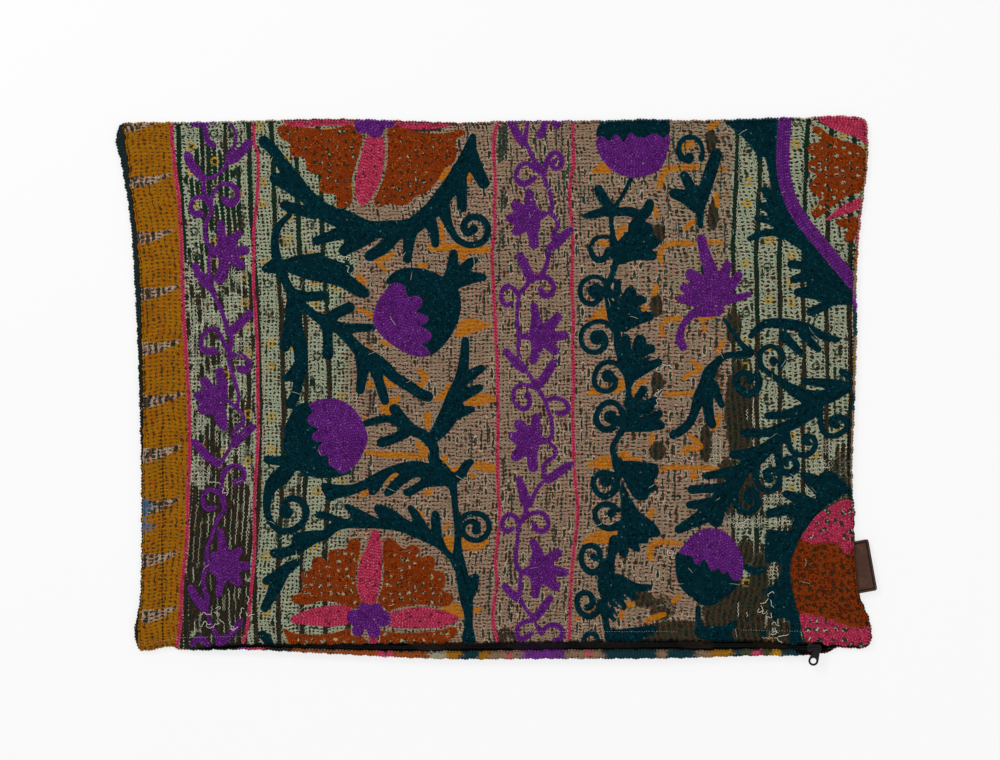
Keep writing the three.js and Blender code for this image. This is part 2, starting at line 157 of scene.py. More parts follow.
PINK_LINES = """
-303 250 2, -303 240, -301 220, -299 200, -296 180, -295 160, -293.5 140, -293 120, -292.5 100, -292 80,
-291 60, -289.5 40, -288.5 20, -287 0, -286.5 -20, -286 -60, -287 -80, -288 -120, -288.5 -140, -290.5 -160,
-293 -180, -294 -200, -295 -220, -298 -241
-226 250 1.8, -226 230, -223 222, -222 210, -223 180, -225 160, -226.5 140, -226 120, -226.5 100, -225 80,
-224 60, -223 40, -222.5 0, -222 -40, -223 -60, -225.5 -100, -225.5 -140, -226 -160, -228 -180, -230 -200,
-232 -220, -236 -236
1.5 250 1.8, -1.5 240, -2.5 230, -2 210, -1 190, -2 170, -1.5 150, -4 130, -3.5 110, -2.5 90, -1.5 70,
-0.5 50, 0.5 30, 1 0, 1.5 -40, 1 -60, 2 -100, 3 -112, 2 -130, 0 -150, -1 -160, 0.5 -180, -2.5 -200,
-3.5 -210, -2.5 -220, 2 -237
71 250 1.8, 71.5 220, 72 210, 70 200, 68 180, 70 160, 71 140, 70.5 110, 70 100, 71 80, 71.5 60, 71 40,
72 10, 71 -20, 72 -60, 73 -80, 75 -100, 76 -112, 74.5 -130, 72 -150, 70 -170, 69 -190, 68.5 -220, 67.5 -233
"""

PURPLE_STROKES = """
-286 250 1.5, -281 248 3, -270 250 2, -262 251 1.5
-271 250 2.5, -271 240, -269 232, -264 228 3
-258 251 1, -252 252 1.2, -247 247, -243 238, -244 228 1.5, -249 222 1.8, -251 214 1.5, -253 208 1.8,
-258 202 1.6, -265 198 1.5, -272 197 2
-231 230 4, -236 224, -243 217 4.5, -248 213 3
-288 219 3.5, -284 210 4, -278 202, -273 197 3
-273 197 2, -273 188 1.8, -271 181 2, -268 174 3, -265 168 2, -270 158 1.8, -272 148, -270 138, -266 132
-267 172 2, -264 183 1.6, -259 190, -252 192 2, -245 190 2.5, -241 183, -243 176 3.5, -248 174 4,
-253 177 3, -255 180 1.5
-270 178 3, -277 180 1.8, -283 177 2, -285 170, -281 164 3, -276 164 3.5
-257 155 3.5, -256 140 4.5, -254 128 6
-240 146 3, -246 140 5, -252 132 6
-234 130 4, -245 129 4.5
-239 117 4.5, -246 123 5
-258 104 5, -254 115, -253 125 6
-265 131 3, -258 128 5
-266 130 1.8, -268 118 1.6, -267 105 2, -266 96 3, -262 86 1.8, -257 76 2, -253 64, -250 56 3
-281 116 3, -277 108 4, -271 100 4.5, -267 96 3.5
-230 71 3.5, -236 65 4, -243 58 4.5, -249 54 4
-247 50 2, -247 42, -250 37 2.5
-249 35 2.5, -254 44 2, -258 52, -264 57, -271 54, -275 46, -274 38 2.5, -267 36 3.5, -262 36 3
-249 31 2.5, -241 33 2, -234 30, -230 24, -233 19 3.5, -238 19, -241 21 2
-249 34 2, -249 25 1.6, -246 15 1.8, -243 5, -240 -5 1.5, -241 -13
-258 17 4, -256 5 5, -256 -8 6
-272 8 4.5, -267 0 5, -262 -8 6
-278 -5 4, -268 -9 8, -260 -10 6
-274 -18 4.5, -266 -16 7
-253 -35 3, -256 -30 5, -258 -20 6
-249 -11 1.5, -243 -16 1.6, -236 -24 1.5, -236 -30 1.8, -244 -38 2, -246 -44 1.5, -245 -50 2
-228 -35 3.5, -235 -41 4, -243 -49
-247 -52 1.5, -252 -60, -257 -68 2
-281 -49 3.5, -275 -56 4, -268 -63, -260 -69 3
-254 -76 2.5, -247 -71 2, -240 -71, -235 -77, -237 -84 2.5, -243 -86 3
-254 -76 2, -256 -86, -256 -96 2.5, -255 -103, -253 -110 2, -258 -118, -262 -126 1.6, -265 -136, -269 -146,
-270 -158 2, -269 -163 3
-255 -98 3, -262 -94 2, -269 -93, -273 -98, -273 -107, -268 -111 2.5, -262 -109 2
-257 -132 3, -255.5 -145 4, -254 -158 7
-240 -150 3.5, -248 -158 6
-233 -164 4, -243 -165 5.5
-241 -179 4, -248 -171 7
-259 -190 3, -257 -180 4, -254 -168 7
-263 -154 3.5, -257 -160 7
-268 -164 3, -258 -167 8
-269 -163 2.5, -273 -172 2, -273 -182, -270 -192, -270 -200 2.5
-285 -184 3, -281 -192 4, -275 -200, -271 -206 3
-270 -208 1.5, -267 -216, -263 -224 1.6, -259 -231 3
-239 -216 3, -244 -223 3.5, -251 -231, -258 -235 4
-284 -238 2, -280 -233 2.5, -274 -232 3, -270 -236 2.5, -268 -239 2
-125 246 7
-113 243 8
-113 250 7
-100 249 5
-132 -212 7
-123 -205 6.5
-106 -213 7.5
-112 -205 6
-118 -215 9
-129 -224 5.5
-114 -225 6
12 252 3, 16 245 3.5, 20 237 4, 24 231 3.5
29 250 1.5, 28 243 1.8, 27 235 2, 26 230 3
29 227 2, 32 220 1.8, 36 213 2, 40 208 2.5
45 251 3, 44 244, 41 238 4
42 203 3, 35 207 2.5, 30 211 2, 23 210, 19 204, 19 196 2.5, 25 192 3, 32 195 2.5, 36 198 2
45 204 2.5, 47 213, 51 220 2, 57 221 2.2, 61 215, 60 208 2, 54 206, 52 211 1.8, 56 215 1.5
43 203 2, 44 200, 46 193 1.8, 49 186, 51 178, 52 170, 50 165 1.6
30 184 3.5, 31 175 4.5, 33 164 8
18 172 4.5, 25 165 7
13 160 4, 24 158 7
19 148 4.5, 27 155 7
35 136 4.5, 34 147 5, 33 157 8
44 164 3, 37 162 5
50 164 1.6, 55 160 1.8, 57 153, 54 147, 52 143 2
69 149 3, 63 144 4, 56 137 4.5, 50 133 3.5
49 130 2.2, 48 122 2, 46 115, 43 109 2.5
22 125 3.5, 26 117 4, 30 108 4.5, 33 103 3
30 104 3, 38 105, 46 105 2.5, 52 100 2.2, 53 93, 48 88 2.5, 43 89 3, 41 94 2.5
31 102 2, 27 96, 22 91, 20 90 3
20 90 2.5, 15 95 2, 9 97, 5 91, 5 83, 9 79 2.2, 14 81 2
21 88 1.6, 20 78, 19 68, 20 58 1.8, 21 50 2, 20 40 1.6, 21 32 1.5
35 78 3.5, 36.5 68 4, 38 56 7
57 68 4, 51 61 5, 44 54 7
63 51 4, 54 50 5, 45 50 8
54 37 4.5, 48 43 5, 42 48 7
34 28 4, 37 36 4.5, 39 46 7
25 50 2.5, 32 50 4
9 36 3, 14 30 3.5, 20 24 4.5, 25 20 4
26 20 2, 30 15 1.6, 34 9 1.8, 36 4 2.5
54 27 3, 50 20 4, 45 12, 40 6
36 2 2, 30 4 1.8, 23 5, 17 1, 16 -7 2, 19 -14, 25 -18 2.2, 30 -15 2, 31 -8, 29 -3, 27 -7 1.5
38 2 2, 42 -4 1.8, 46 -10 2, 52 -8, 58 -8, 64 -11, 67 -17 2.2, 62 -22 2.5, 56 -21 2
46 -11 1.8, 48 -19 1.6, 51 -27 1.8, 52 -36, 51 -44, 47 -47 2
37 -26 4, 36 -36 5, 34 -44 8
21 -32 4.5, 28 -41 7
15 -43 4, 25 -47 7
18 -62 4.5, 26 -54 7
34 -72 4.5, 33 -60 5, 32 -51 8
42 -47 4, 36 -47 5
50 -50 1.8, 55 -55 1.6, 54 -62 1.8, 48 -66, 44 -70, 44 -77, 46 -82 2.5
70 -69 2.5, 63 -73 4, 55 -79, 48 -84 3.5
43 -86 1.6, 38 -92, 34 -100 2, 31 -106 3
21 -83 3, 24 -92 4, 26 -100 4.5, 28 -107 3.5
28 -109 2, 26 -116 1.8, 24 -120
21 -124 2.5, 17 -118 2, 11 -116, 6 -121, 5 -128, 10 -132 2.2, 15 -129 2
22 -123 2.5, 28 -118 2, 34 -115, 41 -114, 47 -119, 48 -127, 43 -132 2.5, 36 -129, 35 -125 2
21 -125 1.6, 20 -135, 19 -145, 18 -155 1.8, 19 -164 2, 23 -170
34 -142 3.5, 38 -150 4.5, 38 -160 7
57 -152 4, 50 -157 5, 44 -164 7
63 -170 4, 54 -169 5, 44 -168 9
55 -183 4.5, 48 -177 5.5, 41 -171 7
36 -191 3.5, 37 -183 4.5, 38 -174 7
25 -170 2, 32 -168 5
23 -171 1.8, 22 -180, 22 -190 2.2
8 -183 3, 13 -189 3.5, 19 -194, 23 -197 2.5
24 -198 1.5, 28 -205, 33 -210 2
50 -194 3, 46 -199 3.5, 41 -207, 36 -213 3
34 -214 2.5, 27 -216 2, 21 -219, 19 -226, 22 -232 2.5, 28 -230, 33 -226 2
38 -220 2, 42 -227, 46 -221, 52 -219 2.5, 58 -220, 62 -226 2.2, 59 -232 2.5, 54 -233 2
269 254 6, 268 240, 267 225, 267 210, 269 195, 273 180, 279 167, 287 155, 296 144, 306 132, 316 120,
326 108, 333 99
200 88 13
191 141 4, 194 128 5, 199 113 6, 203 100 8
215 116 4, 212 107 5, 208 98 6
226 107 3.5, 219 98 5, 212 92 6
235 89 2.5, 225 86 3.5, 213 84 5
181 108 5, 190 100 7
175 95 4, 186 92 7
171 85 3, 183 84 6
205 76 7, 195 74 6, 185 72 4, 177 65 3, 172 56, 171 47 4, 174 40 3.5
"""

PURPLE_AREAS = """
50 251, 60 250, 59 245, 55 243, 52 247
-95 100, -86 97, -84 90, -82 86, -76 88, -69 84, -71 77, -76 73, -70 71, -63 67, -66 62, -73 60, -66 57,
-60 51, -64 45, -72 43, -66 40, -62 33, -72 31, -85 35, -98 43, -109 53, -115 64, -113 76, -107 88
-175 -14, -168 -10, -155 -8, -142 -11, -131 -20, -124 -32, -120 -45, -123 -55, -130 -68, -138 -75, -145 -78,
-150 -73, -156 -70, -157 -62, -165 -60, -166 -53, -160 -48, -170 -47, -172 -42, -165 -36, -173 -33,
-176 -26, -171 -20
93 232, 97 237, 102 234, 105 230, 107 234, 111 238, 115 236, 118 230, 121 234, 125 240, 130 236, 138 235,
146 239, 152 237, 156 234, 160 239, 162 234, 160 225, 157 214, 150 204, 140 200, 128 198, 115 201, 105 207,
98 216, 94 225
170 -151, 176 -143, 182 -136, 190 -131, 200 -129, 210 -131, 218 -137, 224 -145, 229 -155, 230 -165,
228 -175, 223 -178, 218 -174, 216 -168, 211 -172, 207 -165, 204 -168, 199 -167, 196 -160, 193 -157,
190 -162, 185 -162, 183 -155, 177 -154
"""

TEAL_STROKES = """
-176 180 5, -160 166 8, -140 158 9, -120 150 8, -100 150, -80 152, -65 163, -50 180, -38 197, -28 215 7,
-24 228 5, -22 236 3
-217 232 5, -207 222, -199 210 6, -188 195 7, -176 180, -164 170
-206 197 5.5, -193 190 6, -180 181
-197 172 4.5, -185 168 5, -170 165 6
-168 139 4, -155 143 5, -140 148 7
-115 146 7, -130 138, -142 130 5
-95 145 7, -105 133 6, -118 125 5
-80 150 7, -82 135 5, -83 122 4
-62 158 6, -58 145 4.5, -57 136 3.5
-50 170 7, -45 155 4, -36 140 3, -24 135, -12 139, -8 150, -14 160, -26 160, -31 152, -27 146, -21 150 4
-35 205 7, -33 190 5.5, -32 170 4.5
-24 225 5, -18 205 6, -12 193 5.5
-193 163 2.5, -201 155 3, -206 145 3.5, -206 130 4, -204 120 5
-216 113 3, -208 115 7
-197 118 4, -180 121 5, -165 124 4
-197 116 5, -175 112 9, -155 108, -140 101 7, -128 93 6, -122 90 4
-160 118 6, -142 113 5, -137 113 4
-200 112 4, -196 100, -190 90 5, -187 85 8, -189 70, -186 55 6, -183 40 6.5, -182 25 6, -184 10 5,
-187 -3 4.5, -192 -13
-191 65 6, -194 50, -197 40 4.5
-186 22 4, -192 14, -196 11 3.5
-190 88 6, -175 87 4.5, -162 88
-180 78 4, -170 70, -160 64 6
-160 64 5, -148 72, -137 77
-155 60 6, -140 57 5, -128 58 4, -116 58 3.5
-158 58 5, -157 45 4.5, -157 33 5
-145 55 5, -135 45, -128 37 6, -115 28 7, -105 22 6, -95 12 5, -82 4, -70 -4, -64 -6
-125 33 7, -125 15 5, -127 0 4
-115 25 6, -110 10 4.5, -107 0, -104 -10 4
-45 100 6, -41 115 5, -40 127 4
-40 100 6, -32 110, -24 119 4, -20 121 3
-45 98 7, -30 103 6, -18 105 4.5, -12 105 3
-190 -66 6, -205 -66 4, -213 -65
-192 -72 6, -200 -80 8, -207 -86 7, -212 -95 5, -214 -110 3.5, -211 -122 3, -202 -131, -192 -131, -181 -124,
-177 -113, -182 -104, -192 -101, -199 -108
-196 -114 6
-124 -32 3, -110 -28 3.5, -100 -27, -90 -32 4, -80 -37 5, -70 -41, -62 -48, -58 -55 4.5, -58 -65, -55 -72 5
-80 -35 4.5, -88 -27 5, -95 -18
-85 -40 5, -95 -45 4.5, -107 -49
-60 -46 5, -50 -33 8, -43 -20 9, -38 -5 8, -33 10 6, -30 30 4.5, -29 46 3.5
-35 5 5, -24 14, -14 20 3.5
-38 -8 6, -25 -2 5, -16 2 3.5
-45 -25 7, -32 -20 5, -23 -18 3
-58 -66 5, -50 -75 6, -44 -84, -40 -92 3.5, -39 -105 2.8, -37 -120 3, -36 -135, -36 -150 4, -34 -162 5,
-31 -178 6, -28 -195, -26 -210 4, -26 -222, -26 -230 6, -25 -236
-42 -84 5, -33 -78 4.5, -28 -70 4, -24 -67 3
-36 -126 2.5, -33 -120, -27 -116, -18 -115, -11 -118, -7 -125, -8 -133, -14 -139, -21 -140, -28 -137,
-31 -131 2, -29 -125, -23 -122 2.2, -18 -125 3, -19 -131 4
-27 -195 4, -22 -185 4.5, -20 -175 4
-185 -160 3, -193 -165 5, -205 -173, -215 -178 3.5
-197 -170 4, -205 -182 6, -210 -192 5, -216 -203 4
-218 -228 4, -213 -233, -210 -238 3
126 198 2.2, 122 190 1.8, 118 182, 112 173 2, 109 168 3
95 187 4, 98 181 5, 103 173 4.5, 107 166 4
83 162 2.5, 92 164 4, 102 166, 112 166, 125 166 4.5, 135 162 5
143 174 4, 140 167 5, 133 159, 128 152
107 165 2.5, 107 155 2, 108 147, 109 140 3, 110 133 5
108 142 2, 100 143 1.8, 92 141 2, 88 134, 89 126 2.5, 95 121 3, 102 124, 103 129 2.5
112 128 6, 128 142 8, 140 150 6
112 126 6, 130 133 8, 146 138 6
115 122 5, 130 127 6, 145 125 4.5
117 121 4
111 118 3, 108 108 2.5, 104 100
102 100 2, 96 105, 88 105, 80 100 2.2, 78 91, 81 83, 89 80 2.5, 96 85, 98 92 3, 93 96 4
91 92 6
103 98 3, 104 85, 107 72 4, 112 62
112 100 4, 111 90 5
125 91 5.5, 121 82 6
134 83 5.5, 128 76 6
143 69 4, 130 66 6, 118 60
113 70 10
118 80 9
110 55 2.5, 106 60 2.2, 98 64 2, 88 62 2.2, 80 55, 79 46, 83 38, 92 35 2.5, 100 39, 102 47, 98 53 3
94 49 7
112 54 3, 113.5 42 4, 117 32 5, 121 22 7, 125 12 5, 123 3 2.5
120 48 4.5, 120 35 6
134 46 5.5, 130 33 6.5
143 38 5, 136 30 6
151 26 3.5, 138 20 5, 128 15 6
127 28 11
115 22 2.5, 108 26 2.2, 99 25, 93 18, 91 8, 95 1 2.5, 103 -1, 110 3, 111 10
104 13 6
122 12 3, 123 2 2.5, 123 -8 3, 122 -15
118 -35 2.5, 118 -25, 114 -15, 106 -11, 97 -16, 93 -25, 95 -33 3, 102 -37, 110 -34, 113 -27
106 -25 6
137 0 4, 133 -8 5, 128 -18 6
147 -10 4, 138 -17 6
150 -22 5, 135 -27 8
153 -33 4, 138 -34 5, 122 -35 4
130 -27 12
117 -38 3, 112 -46 2.5, 108 -54, 110 -62 3, 113 -70 5
113 -80 3, 117 -92, 121 -103 5, 124 -115 8
112 -80 2.5, 98 -77, 91 -82, 91 -90, 95 -97, 102 -99 3, 109 -95, 112 -85
102 -85 5.5
113 -112 2.5, 107 -107, 98 -107, 92 -113 2.2, 93 -121 2.5, 98 -127, 106 -129 3, 114 -126 4
107 -115 4
110 -140 5, 107 -155 4, 104 -165 6, 103 -180 9, 107 -190 10
100 -160 3, 95 -168, 88 -170, 81 -164 2.5, 79 -155, 82 -147, 90 -145, 96 -150, 95 -157 3, 90 -155
142 -184 3, 130 -184 4, 115 -178 6
127 -192 4, 115 -187 8
118 -202 3.5, 110 -195 6
110 -212 3.5, 105 -205 5
100 -200 3, 101 -210, 102 -218, 104 -226
97 -197 2.5, 95 -205 3, 88 -211, 79 -208 2.5, 75 -199, 77 -191, 85 -189, 90 -195, 88 -201 3, 84 -203
81 -235 2.2, 83 -229, 88 -226 2.5, 93 -229 2.2, 95 -235
190 152 2, 190 160 3, 189 170 5, 190 178 7, 195 190 6, 200 205, 205 220 5
175 200 4, 180 190 5, 187 178 6
166 183 5, 175 180 6, 185 172
191 215 2.5, 192 224 2, 188 233, 180 236 2.2, 172 232, 170 223 2.5, 173 216 3, 180 214
180 217 4
250 187 3, 258 177 6, 266 165 8
247 172 3, 256 168 5, 266 160 7
243 160 3, 255 158 4, 268 153 6
236 141 2.5, 245 145 3, 258 147 3.5, 270 145 5, 280 140 6, 290 133, 300 122
275 117 4, 285 116, 300 113 7, 312 105 8
277 103 3.5, 290 106 5, 305 103 8
281 91 4, 293 91 6, 310 92 9, 325 93 8
293 73 4, 303 77, 315 83, 328 84, 333 88
193 105 1.5, 191 120, 189 140
212 66 1.8, 217 59, 222 51 2, 228 43 2.5, 233 38 3
235 35 5
237 50 2.5, 243 57 3, 252 62 4, 265 62 5, 280 60, 292 56, 305 50 3.5, 318 47 2.5
268 50 5, 275 43 4, 283 35 3
285 52 4, 293 44, 300 38 3
232 33 4, 222 33 3, 212 31, 205 25 4, 198 15 6, 195 5, 190 -5, 186 -15 4.5, 183 -25 4, 175 -36, 165 -42
196 0 6, 197 -15 5, 199 -28 4.5, 201 -32 4
203 5 4, 206 -5 3.5, 210 -14 3
246 22 2.5, 246 35, 255 41 2.2, 264 36, 268 28 2.5, 264 21
258 27 4
243 15 3, 245 5, 240 -2 3.5, 232 -3 4, 225 3 3.5, 223 10 3, 228 16 2.5, 236 14 3, 236 8
248 20 2.5, 255 15, 262 10 3, 270 4 4, 280 -2 6, 292 -7 7, 305 -7, 318 -2 6, 328 2 4, 333 3 3
287 8 3, 300 7 4, 315 5 5, 330 3 4
322 17 3, 330 12 3.5
253 -24 3.5, 268 -23 4, 285 -18 5, 300 -12
231 -40 4, 250 -40, 265 -36 5, 280 -30, 295 -22 4
268 -42 6, 258 -50, 248 -58 7, 240 -66, 230 -74, 222 -85 8, 215 -95 9, 208 -105, 203 -115 10
220 -60 3.5, 232 -60 5, 243 -57
196 -80 3.5, 208 -78 4, 220 -76 5
182 -93 4, 195 -92, 208 -92 5
180 -107 3.5, 192 -106 4.5, 203 -104 5
302 -15 2.5, 302 -28, 304 -38, 311 -43, 320 -41, 327 -34, 324 -27 3, 315 -26, 312 -30, 317 -33 3.5
331 -15 2.5, 332 -30 2, 331 -40
272 -45 2.5, 274 -55, 281 -60, 291 -60, 297 -53, 296 -45 2.2, 288 -43 2.5, 287 -49, 292 -50 2
262 -55 3, 263 -68, 267 -76, 275 -77 3.5, 280 -70 3, 276 -64 2.5, 270 -64, 270 -69
243 -72 3, 242 -83 2.5, 246 -91, 255 -94, 262 -89, 264 -80, 258 -74, 251 -77 3, 254 -83 4
222 -95 4, 223 -105 3, 228 -112, 236 -114, 243 -108, 243 -99 2.5, 237 -93 3, 234 -98 4, 235 -103
270 -97 3.5, 283 -102 6, 295 -110 8
255 -115 4, 270 -112 5, 285 -115 8
233 -165 3, 240 -169 3.5, 248 -167 3
170 -130 4, 185 -122 6, 200 -115 8, 205 -122 6
188 -203 2.5, 188 -215, 190 -225 3.5
248 -226 3
"""

# Thin lines left bare between the lobes of the teal leaves.
TEAL_CUTS = """
108 88 0.6, 109 97 0.8, 112 105 1
113 79 0.6, 115 86 0.7, 118 93 0.8
119 80 0.5, 121 88
126 38 0.6, 126 46 1, 125 54 1.7
136 39 0.5, 140 43 0.6, 142 48 1.2
115 46 0.5, 117 52 0.8
134 28 0.6, 144 33 1.2, 152 34 2
128 75 0.5, 134 78 1, 140 80 1.6
115 -83 0.6, 117 -94 0.7, 120 -100 0.8
115 -140 0.5, 115 -150 0.8
123 -146 0.6, 124 -155 1.4
133 -142 0.6, 136 -151 1.4
104 -197 0.6, 108 -207 1, 112 -213 1.2
110 -196 0.6, 116 -203 1.2
118 -190 0.6, 128 -199 1.6
124 -20 0.5, 136 -8 0.6, 142 0 1
128 -27 0.5, 142 -22 0.7, 153 -17 1
126 -12 0.6, 128 -2 1.4
"""

TEAL_AREAS = """
-45 -88, -55 -90, -66 -91, -75 -96, -81 -99, -86 -98, -87 -94, -80 -90, -72 -85, -70 -82, -74 -81, -84 -86,
-92 -93, -98 -98, -103 -99, -105 -96, -100 -88, -94 -82, -90 -78, -95 -77, -103 -84, -110 -94, -114 -98,
-119 -97, -119 -92, -125 -94, -135 -98, -148 -101, -156 -104, -160 -98, -163 -92, -163 -87, -150 -88,
-135 -88, -122 -83, -108 -75, -92 -69, -76 -66, -62 -69, -50 -75, -42 -84
-36 -172, -45 -157, -56 -147, -68 -141, -80 -136, -90 -132, -102 -130, -115 -129, -128 -129, -140 -129,
-149 -132, -156 -138, -168 -143, -178 -149, -190 -154, -203 -157, -211 -154, -210 -149, -198 -147,
-191 -143, -190 -136, -184 -133, -172 -131, -160 -130, -160 -127, -152 -123, -160 -121, -168 -118,
-168 -114, -158 -114, -148 -118, -138 -120, -136 -116, -142 -109, -140 -106, -130 -110, -118 -116,
-109 -120, -114 -112, -113 -107, -108 -107, -97 -111, -86 -119, -78 -123, -80 -116, -83 -110, -80 -107,
-74 -112, -67 -122, -61 -131, -61 -118, -58 -112, -54 -114, -52 -125, -50 -138, -44 -150, -36 -156, -33 -165
-103 100, -95 110, -80 114, -62 111, -48 104, -36 94, -33 80, -36 64, -43 50, -53 38, -63 32, -70 40,
-80 70, -90 95
-178 -12, -185 -14, -193 -25, -198 -40, -198 -55, -193 -65, -185 -75, -172 -81, -155 -82, -143 -80,
-135 -76, -150 -40, -160 -15
99 251, 108 253, 125 254, 145 253, 160 252, 160 236, 150 232, 120 230, 95 233, 93 240
110 -68, 120 -66, 135 -67, 150 -70, 151 -78, 147 -85, 150 -92, 143 -96, 140 -102, 130 -102, 126 -97,
121 -88, 117 -80, 111 -78
118 -115, 128 -110, 135 -115, 142 -120, 148 -125, 153 -135, 148 -137, 142 -138, 141 -143, 135 -143,
134 -150, 128 -150, 124 -147, 122 -155, 118 -157, 114 -152, 113 -140
102 -224, 115 -223, 130 -221, 148 -220, 150 -224, 143 -228, 138 -232, 133 -236, 103 -236
213 250, 228 252, 255 254, 264 254, 264 240, 263 220, 262 205, 264 190, 268 178, 276 162, 286 150, 294 138,
280 142, 270 158, 262 176, 256 190, 253 206, 249 218, 244 214, 243 218, 238 226, 230 235, 216 247
292 135, 300 127, 312 112, 325 100, 334 92, 334 80, 320 80, 300 83, 290 90, 290 110, 285 125
283 -77, 295 -78, 300 -80, 305 -76, 315 -77, 322 -84, 331 -92, 333 -97, 325 -97, 315 -103, 305 -110,
298 -118, 290 -127, 283 -133, 275 -128, 280 -118, 288 -108, 298 -100, 290 -90
253 -130, 262 -131, 275 -131, 282 -125, 284 -138, 278 -150, 274 -165, 276 -180, 280 -195, 284 -210,
283 -225, 285 -237, 274 -237, 273 -215, 262 -213, 258 -222, 258 -213, 254 -205, 253 -195, 250 -186,
257 -183, 266 -165, 260 -160, 252 -162, 250 -155, 251 -140
168 -152, 167 -165, 169 -178, 175 -188, 183 -194, 190 -200, 200 -201, 212 -194, 222 -185, 228 -175,
215 -160, 190 -150
185 -222, 195 -220, 210 -220, 225 -214, 222 -222, 218 -228, 222 -233, 200 -234, 185 -228
"""

RUST_STROKES = """
336 128 3
284 -142 3, 295 -145 3.5, 305 -144, 316 -144, 323 -151, 331 -155, 336 -150 3
286 -207 3, 295 -208, 308 -211, 320 -216, 335 -220, 346 -220 2.5
"""

RUST_AREAS = """
-203 246, -180 245, -155 243, -135 247, -125 238, -127 225, -131 210, -135 195, -134 180, -136 172,
-141 170, -149 170, -149 176, -150 182, -160 183, -166 188, -164 196, -163 200, -172 202, -177 206,
-178 214, -180 217, -188 217, -193 222, -192 230, -199 233, -204 240
-100 246, -90 245, -75 241, -60 239, -45 240, -33 243, -28 240, -34 236, -38 233, -37 222, -40 212, -48 207,
-55 195, -64 185, -76 180, -83 173, -93 172, -99 174, -110 170, -114 173, -112 181, -106 195, -102 210,
-101 230
-190 -198, -191 -193, -182 -188, -181 -178, -182 -170, -172 -167, -172 -158, -165 -155, -157 -160,
-157 -152, -150 -148, -140 -148, -137 -140, -131 -138, -127 -142, -128 -155, -131 -170, -130 -185,
-126 -197, -125 -205, -135 -203, -150 -198, -165 -197, -175 -200
-110 -208, -100 -206, -88 -202, -75 -200, -60 -201, -45 -201, -40 -196, -42 -190, -50 -187, -47 -178,
-50 -169, -58 -168, -57 -158, -62 -154, -70 -156, -73 -146, -80 -144, -86 -148, -92 -143, -98 -138,
-104 -139, -106 -150, -105 -170, -107 -185, -111 -197
-199 -222, -190 -226, -170 -228, -150 -226, -135 -222, -126 -228, -120 -236, -122 -240, -190 -240, -195 -232
-110 -224, -95 -226, -75 -226, -55 -224, -38 -221, -36 -226, -42 -232, -52 -240, -110 -240, -108 -232
294 245, 300 246, 306 241, 312 237, 322 233, 333 230, 341 226, 345 218, 345 200, 343 190, 338 184, 330 182,
322 178, 314 171, 306 165, 298 160, 293 163, 296 168, 300 173, 299 181, 293 185, 292 191, 296 197, 299 200,
292 204, 290 210, 293 215, 298 217, 291 221, 290 226, 293 230, 300 231, 303 235, 296 240
315 157, 325 160, 335 162, 337 155, 335 145, 332 138, 326 138, 325 145, 328 150, 320 152
284 -141, 295 -145, 310 -144, 318 -148, 323 -153, 332 -150, 336 -150, 340 -185, 344 -205, 350 -220,
345 -222, 335 -221, 325 -218, 315 -214, 305 -211, 295 -209, 283 -209, 278 -195, 275 -180, 274 -165, 277 -152
"""

PINK_STROKES = """
-113 240 6, -114 225 10, -117 208 11.5, -121 192 10.5, -124 180 6.5, -125 175 3.5
-195 249.5 3, -184 249.5 4.5, -165 250 4.3, -145 250 3.6, -132 250 3
-97 249.5 3.5, -80 247.5 4.4, -60 247.3 4.2, -46 248.5 2.8, -34 249.5 1.5
-113 -134 4, -114 -148 7.5, -117 -163 10.5, -119 -178 11, -119 -192 8, -118 -200 5
-188 -214 4, -175 -212 7, -160 -211 9.5, -147 -210 10, -135 -210 7
-100 -214 6, -85 -213 9, -70 -212 10, -55 -213 8.5, -43 -213 5, -38 -213 3
-115 -229 4, -114 -236
339 165 2, 338 150, 336 138
"""

PINK_AREAS = """
291 253, 300 255, 315 256, 330 256, 340 254, 345 248, 347 235, 345 228, 338 234, 328 238, 316 242, 305 248,
298 252
305 158, 311 163, 320 171, 330 176, 340 179, 341 172, 332 166, 320 162, 310 158
283 -140, 290 -128, 298 -117, 305 -112, 315 -106, 325 -102, 333 -104, 334 -112, 333 -125, 336 -135,
333 -147, 330 -152, 325 -153, 320 -147, 316 -143, 305 -143, 295 -144, 288 -141
283 -208, 295 -209, 308 -212, 320 -217, 335 -221, 350 -221, 351 -230, 349 -238, 342 -242, 325 -242,
318 -240, 305 -243, 295 -238, 290 -237, 287 -230, 284 -220
"""

